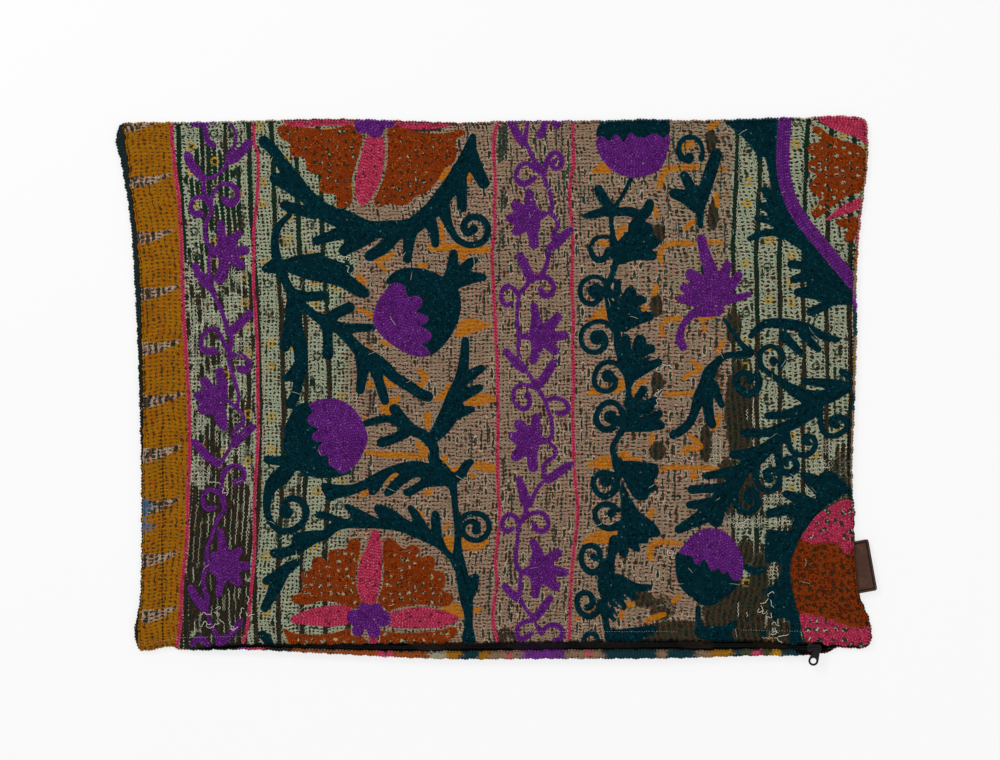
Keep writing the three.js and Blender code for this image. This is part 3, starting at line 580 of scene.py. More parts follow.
OCHRE_STROKES = """
-50 200 6, -40 203 5, -35 205 3
-24 205 2, -26 195 2.5
-62 133 3, -50 133 4, -30 132 5, -12 131 4, -5 131 2
-52 155 2, -50 140 2.5
-32 125 4, -28 120 2
-122 137 1.5, -112 142 2
-95 140 2.5, -87 144 2
-112 121 2.5, -100 124 3, -95 128 1.5
-110 118 2, -103 112
-72 116 2.5, -65 116 2
-128 105 3, -124 100
-130 75 1.5, -120 72 2.5, -114 66 2
-108 45 2, -100 42
-121 42 1, -118 38 1.5
-72 18 2.5, -66 13 3, -70 5 2.5, -76 3 2
-118 5 4
-106 15 2, -103 6 3, -95 4
-45 5 2.5, -47 -3 3, -55 -8
-28 -13 2, -18 -9 6, -5 -8 4
-92 -8 3, -105 -17 4, -98 -22 3
-64 -24 4, -64 -35 2
-122 -26 2
-73 -50 3, -67 -57 4
-125 -57 1.5, -105 -60 3, -85 -61, -68 -62
-47 -62 2, -50 -70 4, -45 -76 5, -38 -82 4, -36 -75, -28 -73
-20 -70 3, -10 -72 5, -2 -73 3
-22 -80 3
-125 -98 3, -118 -93 2
-105 -85 2.5, -92 -78 2
-65 -97 3, -60 -92 2
-75 -112 2, -68 -118
-45 -125 2, -48 -130 1.5
-45 -140 5, -43 -148 3
-30 -135 4, -28 -145, -18 -145 5, -8 -141 2
-105 -142 1.5, -103 -152 2
-126 -155 1.5, -129 -160
-50 -205 3, -40 -205 6, -33 -207, -15 -205 2
152 190 3, 154 198, 160 206, 168 207, 190 208 2.5
148 170 2, 149 162 2.5
86 137 1.5, 93 142 2, 104 145 1.5
184 136 2.5, 168 137 3, 157 134 2.5, 152 126, 154 120
197 138 2.5, 212 137 2
149 97 2.5, 147 90 3
170 67 3, 158 65 2.5, 153 58 2, 155 52 3
127 -5 1.5, 132 6 2.5, 140 9 2
184 -3 2.5, 158 -4
145 -42 2.5, 144 -48 3
150 -77 2, 156 -73 2.5, 205 -73
147 -86 2.5
145 -112 2.5, 143 -117 3
144 -157 3, 144 -147, 150 -142, 172 -143 2
120 -202 3, 128 -199 2
117 -208 3, 116 -213 2
84 -206 2, 92 -201 2.5
140 -215 2.5, 150 -211 3, 157 -209 2
73 -214 1.5, 80 -211
90 -212 2, 97 -209 1.5
170 -192 2.5, 165 -197
205 182 2.5, 206 172
172 225 4, 182 230 3
199 245 3, 206 250
207 207 3, 213 205 2
183 157 3, 176 150 2
190 66 2.5, 203 68 2
193 60 2.5, 194 55 2
212 46 2, 206 36 2.5
182 27 2, 190 20 2.5, 178 14 2, 174 10
208 3 2
208 -23 2, 205 -33 2.5, 202 -37 2
180 -42 2, 186 -48 3, 190 -53, 178 -55, 172 -60 2
184 -80 4
203 -98 2
"""

OCHRE_AREAS = """
-40 50, -38 55, -35 63, -22 67, -10 63, -2 61, -10 57, -22 53, -30 50
87 203, 93 208, 99 213, 104 208, 109 203
111 150, 124 154, 118 146, 115 136
93 137, 100 140, 108 135, 98 134
87 64, 92 73, 104 79, 107 64
131 73, 136 79, 143 76, 134 72
84 -4, 92 3, 110 4, 116 12, 120 3, 115 -2, 100 -4
83 -70, 92 -64, 106 -61, 109 -72, 100 -74, 88 -72
114 -59, 121 -56, 125 -61, 138 -64, 135 -66, 118 -65
80 -143, 86 -135, 97 -130, 113 -130, 110 -138, 104 -143, 95 -143
"""

# Print leaves down the mustard strip: the left end's middle, the right tip, and the height at the left end.
LEAVES = [
    ((-346, 246), (-314, 250), 10),
    ((-341, 195), (-303, 201), 13),
    ((-337, 143), (-301, 149), 14),
    ((-334, 91), (-294, 97), 14),
    ((-332, 40), (-294, 46), 14),
    ((-331, -9), (-291, -3), 14),
    ((-331, -59), (-293, -52), 16),
    ((-330, -108), (-295, -101), 16),
    ((-330, -157), (-296, -151), 14),
    ((-330, -209), (-297, -202), 15),
]

# Where the print has worn through to dark cloth. Columns: x, y, half width, half height, strength.
WORN = [
    (-258, -165, 30, 85, 1.0),
    (-258, -20, 30, 110, 0.62),
    (-258, 80, 30, 70, 0.5),
    (-258, 190, 30, 60, 0.3),
    (226, -20, 15, 52, 1.0),
    (214, -90, 10, 30, 1.0),
    (235, -98, 16, 22, 1.0),
    (322, -84, 12, 32, 0.75),
    (220, 60, 7, 20, 1.0),
    (205, 10, 7, 22, 0.7),
    (225, -212, 38, 34, 1.0),
    (172, -228, 44, 15, 1.0),
    (246, -196, 13, 50, 1.0),
    (270, -232, 14, 18, 1.0),
    (155, -203, 16, 14, 0.8),
    (232, -152, 9, 14, 0.9),
    (8, -232, 14, 12, 0.8),
    (9, -110, 5, 120, 0.35),
    (48, -125, 20, 110, 0.32),
    (149, 79, 7, 12, 1.0),
    (150, 6, 7, 13, 1.0),
    (150, -57, 9, 10, 1.0),
    (151, 145, 7, 11, 1.0),
    (195, -50, 7, 20, 1.0),
    (202, 162, 6, 15, 1.0),
    (200, 232, 6, 13, 1.0),
    (136, -195, 13, 9, 0.95),
    (172, -88, 34, 34, 0.5),
    (160, 150, 40, 90, 0.28),
    (-74, 243, 26, 3, 1.0),
    (-76, 172, 9, 8, 0.6),
    (-75, 130, 12, 8, 0.5),
    (5, 232, 7, 18, 0.7),
    (-18, 246, 12, 6, 0.6),
    (-60, -220, 30, 18, 0.3),
    (100, -150, 30, 70, 0.3),
    (165, -60, 40, 60, 0.25),
    (280, -160, 20, 60, 0.4),
]

# Where a net of bare pale threads shows: x, y, half width, half height.
NETS = [
    (253, -84, 7, 9), (252, -66, 6, 9), (272, -58, 5, 16), (302, -80, 15, 17), (306, -50, 12, 12),
    (234, -123, 19, 8), (268, -124, 14, 5), (258, -104, 12, 11), (258, -170, 6, 9), (205, -58, 6, 20),
    (252, -232, 4, 9), (-277, -28, 9, 16), (-275, -80, 10, 12), (-240, -40, 8, 18), (-262, 100, 14, 10),
    (-240, 112, 10, 12), (-282, 108, 7, 12), (-262, 62, 12, 9), (-282, 40, 7, 14), (-238, 36, 9, 12),
]

# Long slits in the beige print: x and y at the top, x and y at the bottom, width.
SLITS = [
    (3, 250, 3, 212, 3), (6.5, 250, 6, 214, 3), (9.5, 248, 9, 220, 2.5), (6, 190, 5, 165, 3),
    (8, 186, 8, 170, 2.5), (6, 152, 6, 132, 3), (3, 150, 2, 100, 2), (14, 225, 14, 190, 1.6),
    (19, 226, 19, 212, 1.6), (36, 245, 37, 222, 1.8), (41, 243, 41, 210, 1.6), (46, 240, 47, 225, 1.5),
    (47, 200, 46, 172, 1.5), (56, 244, 56, 228, 1.8), (61, 248, 61, 214, 1.8), (58, 200, 58, 176, 2),
    (63, 205, 63, 150, 2.2), (67, 232, 67, 190, 1.6), (57, 172, 57, 140, 2.4), (44, 150, 44, 128, 1.8),
    (53, 132, 53, 114, 2), (66, 128, 66, 104, 1.8), (78, 205, 78, 150, 1.6), (82, 190, 82, 173, 1.6),
    (86, 191, 86, 173, 1.6), (90, 190, 90, 175, 1.4), (77, 80, 77, 60, 2.6), (47, 75, 47, 64, 2.6),
    (20, 142, 20, 108, 1.6), (43, 100, 43, 84, 1.8), (96, 160, 96, 148, 1.6), (128, 224, 129, 200, 1.8),
    (133, 240, 133, 214, 1.5), (146, 214, 147, 196, 2), (152, 240, 152, 222, 1.6),
    (160, 232, 161, 205, 1.8), (165, 250, 165, 226, 2.4), (171, 214, 171, 196, 1.5),
    (176, 236, 176, 212, 1.6), (184, 205, 184, 180, 1.8), (190, 226, 190, 205, 1.6),
    (160, 192, 160, 160, 1.5), (176, 190, 176, 168, 1.5), (186, 174, 186, 138, 1.6),
    (170, 160, 170, 138, 1.5), (140, 178, 140, 160, 1.5), (193, 200, 193, 182, 2),
    (209, 212, 209, 178, 1.6), (213, 160, 213, 128, 1.8), (180, 82, 180, 60, 2), (205, 78, 205, 40, 2.4),
    (-24, -36, -23, -63, 2), (-14, -37, -14, -48, 1.8), (-8, -36, -8, -50, 2.4), (-3, -40, -3, -60, 1.8),
    (6, -64, 7, -88, 2.6), (13, -156, 13, -180, 3), (17, -158, 17, -176, 2), (-6, -167, -7, -210, 2.6),
    (-2, -196, -2, -230, 2), (-118, 0, -118, -22, 3), (-114.5, -2, -114.5, -22, 3), (-119, 58, -119, 42, 3),
    (-115, 56, -115, 43, 3), (-134, -66, -134, -86, 3), (-119, -69, -119, -82, 3), (-70, -5, -70, -15, 3.2),
    (45, 20, 45, 4, 2), (60, -100, 60, -122, 1.8), (47, -90, 47, -112, 2), (14, -96, 14, -114, 1.8),
    (54, -125, 55, -146, 1.8), (12, -196, 12, -214, 2), (64, -186, 63, -204, 2), (50, -204, 50, -216, 1.6),
    (-44, 30, -44, 8, 1.8), (-22, 20, -22, -4, 1.8), (-12, 92, -12, 70, 1.6), (84, -20, 84, -42, 1.8),
    (88, -92, 88, -112, 1.6), (160, 44, 160, 20, 1.8), (172, -20, 172, -44, 2), (166, -74, 166, -104, 2.4),
    (181, -92, 181, -122, 2.2), (176, -140, 176, -172, 2.4), (184, -150, 184, -186, 2.4),
    (190, -120, 190, -150, 2), (163, -160, 162, -186, 2),
]


# ---------------------------------------------------------------- outline and edges, as in the CAD part

CLOTH = 2.5  # thickness of one quilted and embroidered cloth
PILE = 0.9  # how much of that is the raised stitching
FLAT = 5.4  # height where the two cloths lie close
RAISED = 7.4  # height over the zip and the label
SEWN = 0.2  # half gap between the cloths in a sewn seam
SNUG = 0.8  # how far the back cloth reaches over the fold where no strip of it shows
LABEL_GAP = 3.6  # half gap where the label comes out of the seam
TURN = 2.1  # the front cloth's edge, measured back from its lip

# The outermost fold, side by side.
TOP = """
-352.6 246.7, -347.5 249.2, -340 249.9, -276 250.4, -226 251.8, -200 252.4, -167 253.3, -118 252.8,
-75 251.2, -29 249.8, 3 251.3, 106 252, 140 253.2, 175 252, 246 253.8, 266 254.8, 291 254.4, 305 256,
333 255.7, 340 254.5, 344.1 251.7
"""
RIGHT = """
344.1 251.7, 346.2 248, 346.8 240, 346.6 211, 342.1 174.5, 338.3 137, 336.4 100, 336.9 61, 335.1 0,
332.7 -89, 336.5 -131, 341.1 -187, 345.8 -205, 350 -221, 350.7 -230, 348.1 -238
"""
BOTTOM = """
-331.2 -244.3, -314 -241.7, -304 -239.5, -294 -242.5, -230 -242.7, -155 -246.4, -53 -251.1, 59 -251.1,
164 -250.6, 240 -248.3, 296 -247.8, 309 -245.6, 318 -241.3, 344 -241.1, 348.1 -238
"""
LEFT = """
-352.6 246.7, -354.9 239, -355.4 230.5, -351.8 216, -346.5 189, -341.5 154, -338.3 105, -335.5 51, -334 7.5,
-331.8 -79, -332.2 -180, -334.1 -203.5, -337 -215.6, -337.9 -229.6, -336.2 -237.5, -331.2 -244.3
"""

# Columns: x on the bottom and y on the right and left, edge height, reach of the back cloth, half gap.
FINISH_TOP = [(-352.6, FLAT, 3, SEWN), (-340, FLAT, SNUG, SEWN), (344.1, FLAT, SNUG, SEWN)]
FINISH_RIGHT = [
    (-238, FLAT, SNUG, SEWN), (-216, FLAT, SNUG, SEWN), (-195, RAISED, SNUG, LABEL_GAP),
    (-131, RAISED, SNUG, LABEL_GAP), (-112, FLAT, SNUG, SEWN), (-95, FLAT, 2.2, SEWN), (-60, FLAT, 2.2, SEWN),
    (37, FLAT, 3, SEWN), (84, FLAT, 4, SEWN), (119, FLAT, 3.3, SEWN), (137, FLAT, SNUG, SEWN),
    (251.7, FLAT, SNUG, SEWN),
]
FINISH_BOTTOM = [
    (-331.2, FLAT, SNUG, SEWN), (-296, FLAT, SNUG, SEWN), (-277, RAISED, 1.8, 0.95),
    (-230, RAISED, 4.15, 0.9), (-155, RAISED, 7.15, 2.1), (-90, RAISED, 9.95, 3.3),
    (-53, RAISED, 11.55, 3.3), (59, RAISED, 12.75, 3.3), (164, RAISED, 13, 3.75), (189, RAISED, 11.2, 3.65),
    (240, RAISED, 10.6, 3.25), (277, RAISED, 8.45, 1.9), (288, RAISED, 5.4, 6.4), (304, RAISED, 5.4, 6.4),
    (311, RAISED, 3, 4), (322, FLAT, SNUG, SEWN), (348.1, FLAT, SNUG, SEWN),
]
FINISH_LEFT = [
    (-244.3, FLAT, SNUG, SEWN), (-237.5, FLAT, 1.2, SEWN), (-229.6, FLAT, 3.4, SEWN), (-203.5, FLAT, 1, SEWN),
    (-190, FLAT, SNUG, SEWN), (-79, FLAT, SNUG, SEWN), (-46, FLAT, 2.4, SEWN), (7.5, FLAT, 3.5, SEWN),
    (105, FLAT, 5.2, SEWN), (190, FLAT, 4.3, SEWN), (205, FLAT, 6.1, SEWN), (238, FLAT, 9.4, SEWN),
    (246.7, FLAT, 3, SEWN),
]


def rows_of(text):
    """Each line of a table as an array of its rows, with the widths that were left out."""
    tables = []
    for line in text.replace(",\n", ", ").strip().splitlines():
        rows = [[float(number) for number in row.split()] for row in line.split(",")]
        width = rows[0][2:]
        for row in rows:
            width = row[2:] or width
            row[2:] = width
        tables.append(np.array(rows))
    return tables


SHORTEST = 0.01  # the least distance that two points of a curve count as


def smooth(rows, step, closed=False):
    """A centripetal Catmull-Rom curve through rows that begin with x and y, with a point about every step."""
    rows = np.asarray(rows, float)
    if len(rows) < 2:
        return rows
    if closed:
        ends = np.vstack([rows[-1:], rows, rows[:2]])
    else:
        ends = np.vstack([2 * rows[0] - rows[1], rows, 2 * rows[-1] - rows[-2]])
    curve = []
    for p0, p1, p2, p3 in zip(ends, ends[1:], ends[2:], ends[3:]):
        spans = [max(math.dist(a[:2], b[:2]), SHORTEST) for a, b in ((p0, p1), (p1, p2), (p2, p3))]
        t1, t2, t3 = np.cumsum([span**0.5 for span in spans])
        count = max(1, math.ceil(math.dist(p1[:2], p2[:2]) / step))
        t = (t1 + (t2 - t1) * np.arange(count) / count)[:, None]
        a1 = ((t1 - t) * p0 + t * p1) / t1
        a2 = ((t2 - t) * p1 + (t - t1) * p2) / (t2 - t1)
        a3 = ((t3 - t) * p2 + (t - t2) * p3) / (t3 - t2)
        b1 = ((t2 - t) * a1 + t * a2) / t2
        b2 = ((t3 - t) * a2 + (t - t1) * a3) / (t3 - t1)
        curve.append(((t2 - t) * b1 + (t - t1) * b2) / (t2 - t1))
    if not closed:
        curve.append(rows[-1:])
    return np.vstack(curve)


def evenly(curve, shares):
    """Points at these shares of a curve's length."""
    length = np.r_[0, np.cumsum(np.hypot(*np.diff(curve[:, :2], axis=0).T))]
    at = np.asarray(shares) * length[-1]
    return np.stack([np.interp(at, length, column) for column in curve.T], axis=1)


SIDE_STEP = 2.0  # between points of the outline's curves
SIDE_CURVES = [smooth(rows_of(text)[0], SIDE_STEP) for text in (TOP, RIGHT, BOTTOM, LEFT)]


def finish_at(side, place):
    """Edge height, reach and half gap at places on a side, as columns."""
    table = np.array((FINISH_TOP, FINISH_RIGHT, FINISH_BOTTOM, FINISH_LEFT)[side])
    along = place[:, 0] if side in (0, 2) else place[:, 1]
    return np.stack([np.interp(along, table[:, 0], table[:, k]) for k in (1, 2, 3)], axis=1)


def wobble(x, y):
    """Small bumps of a hand-sewn edge."""
    fine = 0.4 * np.sin(x / 1.15 + y / 1.3)
    broad = 0.35 * np.sin(x / 2.1 - y / 1.9 + 2)
    return fine + broad + 0.2 * np.sin(x / 3.7 + y / 4.3)


class Edge:
    """Stations round the outermost fold, clockwise from the top left corner, with how each is finished."""

    def __init__(self, columns, rows):
        self.columns = columns
        self.rows = rows
        places = []
        finishes = []
        for side, count in ((0, columns), (1, rows), (2, columns), (3, rows)):
            place = evenly(SIDE_CURVES[side], np.arange(count + 1) / count)
            if side in (2, 3):
                place = place[::-1]
            places.append(place[:-1])
            finishes.append(finish_at(side, place)[:-1])
        self.place = np.vstack(places)
        self.height, self.reach, self.gap = np.vstack(finishes).T
        run = np.roll(self.place, -1, axis=0) - np.roll(self.place, 1, axis=0)
        run /= np.hypot(*run.T)[:, None]
        self.outward = np.stack([-run[:, 1], run[:, 0]], axis=1)
        self.place = self.place + self.outward * wobble(*self.place.T)[:, None]

    def fold(self, reach, offset=0.0):
        """Points of a cloth near the edge, and its normals there, at this distance over the fold."""
        bend = (self.height - CLOTH) / 2
        quarter = math.pi / 2 * bend
        turn = np.clip(reach, -quarter, quarter) / bend
        past = np.maximum(0, np.abs(reach) - quarter)
        inset = self.height / 2 - bend * np.cos(turn) + past
        normal = np.column_stack([self.outward * np.cos(turn)[:, None], np.sin(turn)])
        rise = self.height / 2 + bend * np.sin(turn)
        middle = np.column_stack([self.place - self.outward * inset[:, None], rise])
        return middle + normal * offset, normal

    def sides(self, loop):
        """A loop's four sides: top and bottom from left to right, right and left from top to bottom."""
        m, n = self.columns, self.rows
        around = np.vstack([loop, loop[:1]])
        return (
            around[: m + 1],
            around[m : m + n + 1],
            around[m + n : 2 * m + n + 1][::-1],
            around[2 * m + n :][::-1],
        )

    def inside(self, loop):
        """A grid of points inside the loop, rows from the top and columns from the left."""
        top, right, bottom, left = self.sides(loop)
        u = np.linspace(0, 1, self.columns + 1)[None, :, None]
        v = np.linspace(0, 1, self.rows + 1)[:, None, None]
        grid = top[None] * (1 - v) + bottom[None] * v + left[:, None] * (1 - u) + right[:, None] * u
        grid -= top[0] * (1 - u) * (1 - v) + top[-1] * u * (1 - v)
        grid -= bottom[0] * (1 - u) * v + bottom[-1] * u * v
        return grid


def step(low, high, x):
    """Rises smoothly from 0 at low to 1 at high."""
    t = np.clip((x - low) / (high - low), 0, 1)
    return t * t * (3 - 2 * t)


COARSE = Edge(240, 170)
LIP = COARSE.sides(COARSE.fold(COARSE.reach + COARSE.gap)[0])
INNER = COARSE.sides(COARSE.fold(COARSE.reach + COARSE.gap + TURN)[0])
FOLD = COARSE.sides(COARSE.place)


def inward(sides, x, y):
    """How far a place lies inside each of the four sides: top, right, bottom, left."""
    top, right, bottom, left = sides
    return np.stack([
        np.interp(x, top[:, 0], top[:, 1]) - y,
        np.interp(-y, -right[:, 1], right[:, 0]) - x,
        y - np.interp(x, bottom[:, 0], bottom[:, 1]),
        x - np.interp(-y, -left[:, 1], left[:, 0]),
    ])


RISE_WIDTH = 30  # of the slopes up to the zip and the label
UNEVEN = 0.8  # height of the slow waves of the front cloth
UNEVEN_FADE = 60  # how far from the edge they reach their height
UNEVEN_X = 230
UNEVEN_Y = 290


def front_top(x, y):
    """Height of the front cloth's outer surface, with its stitching."""
    away = inward(INNER, x, y)
    over_label = np.interp(y, *np.array(FINISH_RIGHT)[:, :2].T) - FLAT
    over_zip = np.interp(x, *np.array(FINISH_BOTTOM)[:, :2].T) - FLAT
    near_label, near_zip = 1 - step(0, RISE_WIDTH, away[1:3])
    height = FLAT + over_label * near_label + over_zip * near_zip
    wave = 0.5 + 0.5 * np.sin(2 * math.pi * x / UNEVEN_X + 0.6) * np.cos(2 * math.pi * y / UNEVEN_Y)
    uneven = UNEVEN * wave * step(0, UNEVEN_FADE, away.min(axis=0))
    half = height / 2
    into = np.clip(inward(FOLD, x, y).min(axis=0), 0, half)
    return half + np.sqrt(np.maximum(half**2 - (half - into) ** 2, 0)) + uneven


# ---------------------------------------------------------------- meshes


def make_piece(name, points, triangles, material, attributes=None):
    """A mesh piece of the cover, from points in millimetres, with one value a point for each attribute."""
    attributes = attributes or {}
    points = np.ascontiguousarray(points, dtype=np.float32).reshape(-1, 3) * np.float32(MM)
    triangles = np.ascontiguousarray(triangles, dtype=np.int32).reshape(-1, 3)
    mesh = bpy.data.meshes.new(name)
    mesh.vertices.add(len(points))
    mesh.vertices.foreach_set("co", points.ravel())
    mesh.loops.add(triangles.size)
    mesh.loops.foreach_set("vertex_index", triangles.ravel())
    mesh.polygons.add(len(triangles))
    mesh.polygons.foreach_set("loop_start", np.arange(0, triangles.size, 3, dtype=np.int32))
    mesh.update(calc_edges=True)
    for label, values in attributes.items():
        values = np.ascontiguousarray(values, dtype=np.float32)
        if values.ndim == 1:
            mesh.attributes.new(label, "FLOAT", "POINT").data.foreach_set("value", values)
        else:
            mesh.attributes.new(label, "FLOAT_COLOR", "POINT").data.foreach_set("color", values.ravel())
    mesh.materials.append(material)
    piece = bpy.data.objects.new(name, mesh)
    bpy.context.scene.collection.objects.link(piece)
    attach(piece, "root")
    return piece


def soften(piece, angle=None):
    """Smooth shading, but for edges sharper than the angle."""
    mesh = piece.data
    mesh.polygons.foreach_set("use_smooth", np.ones(len(mesh.polygons), dtype=bool))
    if angle is not None:
        mesh.set_sharp_from_angle(angle=angle)


# ---------------------------------------------------------------- embroidery

DASH_PITCH = 4.3  # along a row of running stitch
CELL = 0.6  # of the rasters that hold how deep a place lies inside a colour
RASTER_X = np.arange(-363, 363, CELL)
RASTER_Y = np.arange(-263, 263, CELL)
GRID_X, GRID_Y = np.meshgrid(RASTER_X, RASTER_Y)
ROW_PITCH = 1.8  # between rows of chain stitch
STITCH = 2.8  # length of a chain stitch
MOTIF_STEP = 3.0  # between points of a motif's curves
MARGIN = 6  # how far past a motif its depths are worked out
FAR = -99.0
GAP_RIM = 1.3  # of colour, left round each small gap


def window(points, margin):
    """The part of a raster round these points."""
    low = points[:, :2].min(axis=0) - margin
    high = points[:, :2].max(axis=0) + margin
    columns = slice(*np.searchsorted(RASTER_X, (low[0], high[0])))
    rows = slice(*np.searchsorted(RASTER_Y, (low[1], high[1])))
    return rows, columns


def from_line(x, y, start, end):
    """How far along a straight line places are, as a share of it, and how far from it."""
    run = end[:2] - start[:2]
    along = np.clip(((x - start[0]) * run[0] + (y - start[1]) * run[1]) / max(run @ run, 1e-9), 0, 1)
    return along, np.hypot(x - start[0] - along * run[0], y - start[1] - along * run[1])


def add_stroke(depth, rows):
    """Deepens a raster by a stroke along rows of x, y and half width."""
    curve = smooth(rows, MOTIF_STEP)
    if len(curve) == 1:
        curve = np.vstack([curve, curve])
    margin = curve[:, 2].max() + MARGIN
    for start, end in zip(curve, curve[1:]):
        part = window(np.vstack([start, end]), margin)
        along, away = from_line(GRID_X[part], GRID_Y[part], start, end)
        np.maximum(depth[part], start[2] + along * (end[2] - start[2]) - away, out=depth[part])


def add_area(depth, corners):
    """Deepens a raster by a smooth closed area."""
    curve = smooth(corners, MOTIF_STEP, closed=True)
    part = window(curve, MARGIN)
    x, y = GRID_X[part], GRID_Y[part]
    nearest = np.full(x.shape, np.inf)
    inside = np.zeros(x.shape, bool)
    for start, end in zip(curve, np.roll(curve, -1, axis=0)):
        np.minimum(nearest, from_line(x, y, start, end)[1], out=nearest)
        if start[1] != end[1]:
            crosses = (start[1] > y) != (end[1] > y)
            inside ^= crosses & (x < (end[0] - start[0]) * (y - start[1]) / (end[1] - start[1]) + start[0])
    np.maximum(depth[part], np.where(inside, nearest, -nearest), out=depth[part])


def depth_of(strokes="", areas=""):
    """A raster of how deep each place lies inside these shapes, below 0 outside them."""
    depth = np.full(GRID_X.shape, FAR)
    for rows in rows_of(strokes) if strokes.strip() else []:
        add_stroke(depth, rows)
    for corners in rows_of(areas) if areas.strip() else []:
        add_area(depth, corners)
    return depth


def cut_dots(depth, spacing, low, high, share=1.0, left=-400, right=400, top=300):
    """Leaves small uneven gaps about this far apart in a filled colour, from left to right and under top."""
    span_x = np.arange(RASTER_X[0], RASTER_X[-1], spacing)
    span_y = np.arange(RASTER_Y[0], RASTER_Y[-1], spacing)
    for x in span_x:
        for y in span_y:
            centre = np.array([x, y]) + random.uniform(-0.25, 0.25, 2) * spacing
            radius = random.uniform(low, high)
            tall = random.uniform(0.75, 1.35)
            if random.random() > share or not left < centre[0] < right or centre[1] > top:
                continue
            part = window(centre[None], radius * 1.5 + 3)
            if depth[part].size == 0 or read(depth, *centre) < radius + GAP_RIM:
                continue
            away = np.hypot((GRID_X[part] - centre[0]) * tall, (GRID_Y[part] - centre[1]) / tall)
            np.minimum(depth[part], away - radius, out=depth[part])


def read(raster, x, y):
    """A raster's values at these places, between its cells."""
    column = np.clip((x - RASTER_X[0]) / CELL, 0, len(RASTER_X) - 1.001)
    row = np.clip((y - RASTER_Y[0]) / CELL, 0, len(RASTER_Y) - 1.001)
    i, j = row.astype(int), column.astype(int)
    v, u = row - i, column - j
    upper = raster[i + 1, j] * (1 - u) + raster[i + 1, j + 1] * u
    return (raster[i, j] * (1 - u) + raster[i, j + 1] * u) * (1 - v) + upper * v


def contours(depth, level):
    """The lines where a raster passes through a level, by marching squares."""
    over = depth > level
    height, width = depth.shape
    across = over[:, :-1] != over[:, 1:]
    upright = over[:-1] != over[1:]
    numbers = np.arange(height * width).reshape(height, width)
    cell_edges = np.stack([
        np.where(across[:-1], numbers[:-1, :-1], -1),
        np.where(upright[:, 1:], numbers[:-1, 1:] + height * width, -1),
        np.where(across[1:], numbers[1:, :-1], -1),
        np.where(upright[:, :-1], numbers[:-1, :-1] + height * width, -1),
    ], axis=-1).reshape(-1, 4)
    count = (cell_edges >= 0).sum(axis=1)
    two = cell_edges[count == 2]
    four = cell_edges[count == 4]
    pairs = np.vstack([two[two >= 0].reshape(-1, 2), four[:, :2], four[:, 2:]])
    if len(pairs) == 0:
        return []
    nodes, places = np.unique(pairs, return_inverse=True)
    places = places.reshape(-1, 2)
    points = np.empty((len(nodes), 2))
    upright_node = nodes >= height * width
    row, column = np.divmod(nodes % (height * width), width)
    row_to = np.where(upright_node, row + 1, row)
    column_to = np.where(upright_node, column, column + 1)
    near, far = depth[row, column], depth[row_to, column_to]
    share = (level - near) / (far - near)
    points[:, 0] = RASTER_X[0] + CELL * (column + np.where(upright_node, 0, share))
    points[:, 1] = RASTER_Y[0] + CELL * (row + np.where(upright_node, share, 0))
    ends = places.ravel()
    order = np.argsort(ends, kind="stable")
    ends = ends[order]
    partners = places[:, ::-1].ravel()[order]
    first = np.r_[True, ends[1:] != ends[:-1]]
    links = np.full((len(nodes), 2), -1)
    links[ends[first], 0] = partners[first]
    links[ends[~first], 1] = partners[~first]
    links = links.tolist()
    seen = [False] * len(nodes)
    lines = []
    for start in range(len(nodes)):
        if seen[start]:
            continue
        line = [start]
        seen[start] = True
        here = links[start][0]
        while here >= 0 and not seen[here]:
            seen[here] = True
            line.append(here)
            here = next((node for node in links[here] if node >= 0 and not seen[node]), -1)
        line.append(start)
        if len(line) > 4:
            lines.append(points[line])
    return lines


def cut_to_stitches(line, length):
    """A line as the corners of whole stitches."""
    run = np.r_[0, np.cumsum(np.hypot(*np.diff(line, axis=0).T))]
    count = int(round(run[-1] / length))
    if count < 2:
        return np.empty((0, 2))
    at = np.linspace(0, run[-1], count + 1)
    return np.stack([np.interp(at, run, line[:, 0]), np.interp(at, run, line[:, 1])], axis=1)


def fill(depth, length=STITCH, pitch=ROW_PITCH, room=1.25, rows=40):
    """Rows of stitches that follow a colour's outline inwards. Gives starts and ends, as (n, 2) arrays."""
    taken = {}
    starts = []
    ends = []
    reach = math.ceil(room / CELL)
    number = 0
    for row in range(rows):
        lines = contours(depth, pitch * (row + 0.5))
        if not lines:
            break
        for line in lines:
            corners = cut_to_stitches(line, length * random.uniform(0.94, 1.06))
            number += 1
            last = len(corners) - 1
            for k in range(last):
                a, b = corners[k], corners[k + 1]
                middle = (a + b) / 2
                i = int(round(middle[1] / CELL))
                j = int(round(middle[0] / CELL))
                blocked = False
                for di in range(-reach, reach + 1):
                    for dj in range(-reach, reach + 1):
                        other = taken.get((i + di, j + dj))
                        if other is None:
                            continue
                        apart = abs(other[1] - k)
                        if other[0] == number and min(apart, last - apart) <= 1:
                            continue
                        if math.hypot(other[2] - middle[0], other[3] - middle[1]) < room:
                            blocked = True
                            break
                    if blocked:
                        break
                if not blocked:
                    taken[(i, j)] = (number, k, middle[0], middle[1])
                    starts.append(a)
                    ends.append(b)
    return np.array(starts).reshape(-1, 2), np.array(ends).reshape(-1, 2)


# One strand of a chain stitch is a slim closed lozenge: its two ends and a ring of three points between them.
STRAND = np.array([(0, 1, 2), (0, 2, 3), (0, 3, 1), (4, 2, 1), (4, 3, 2), (4, 1, 3)])


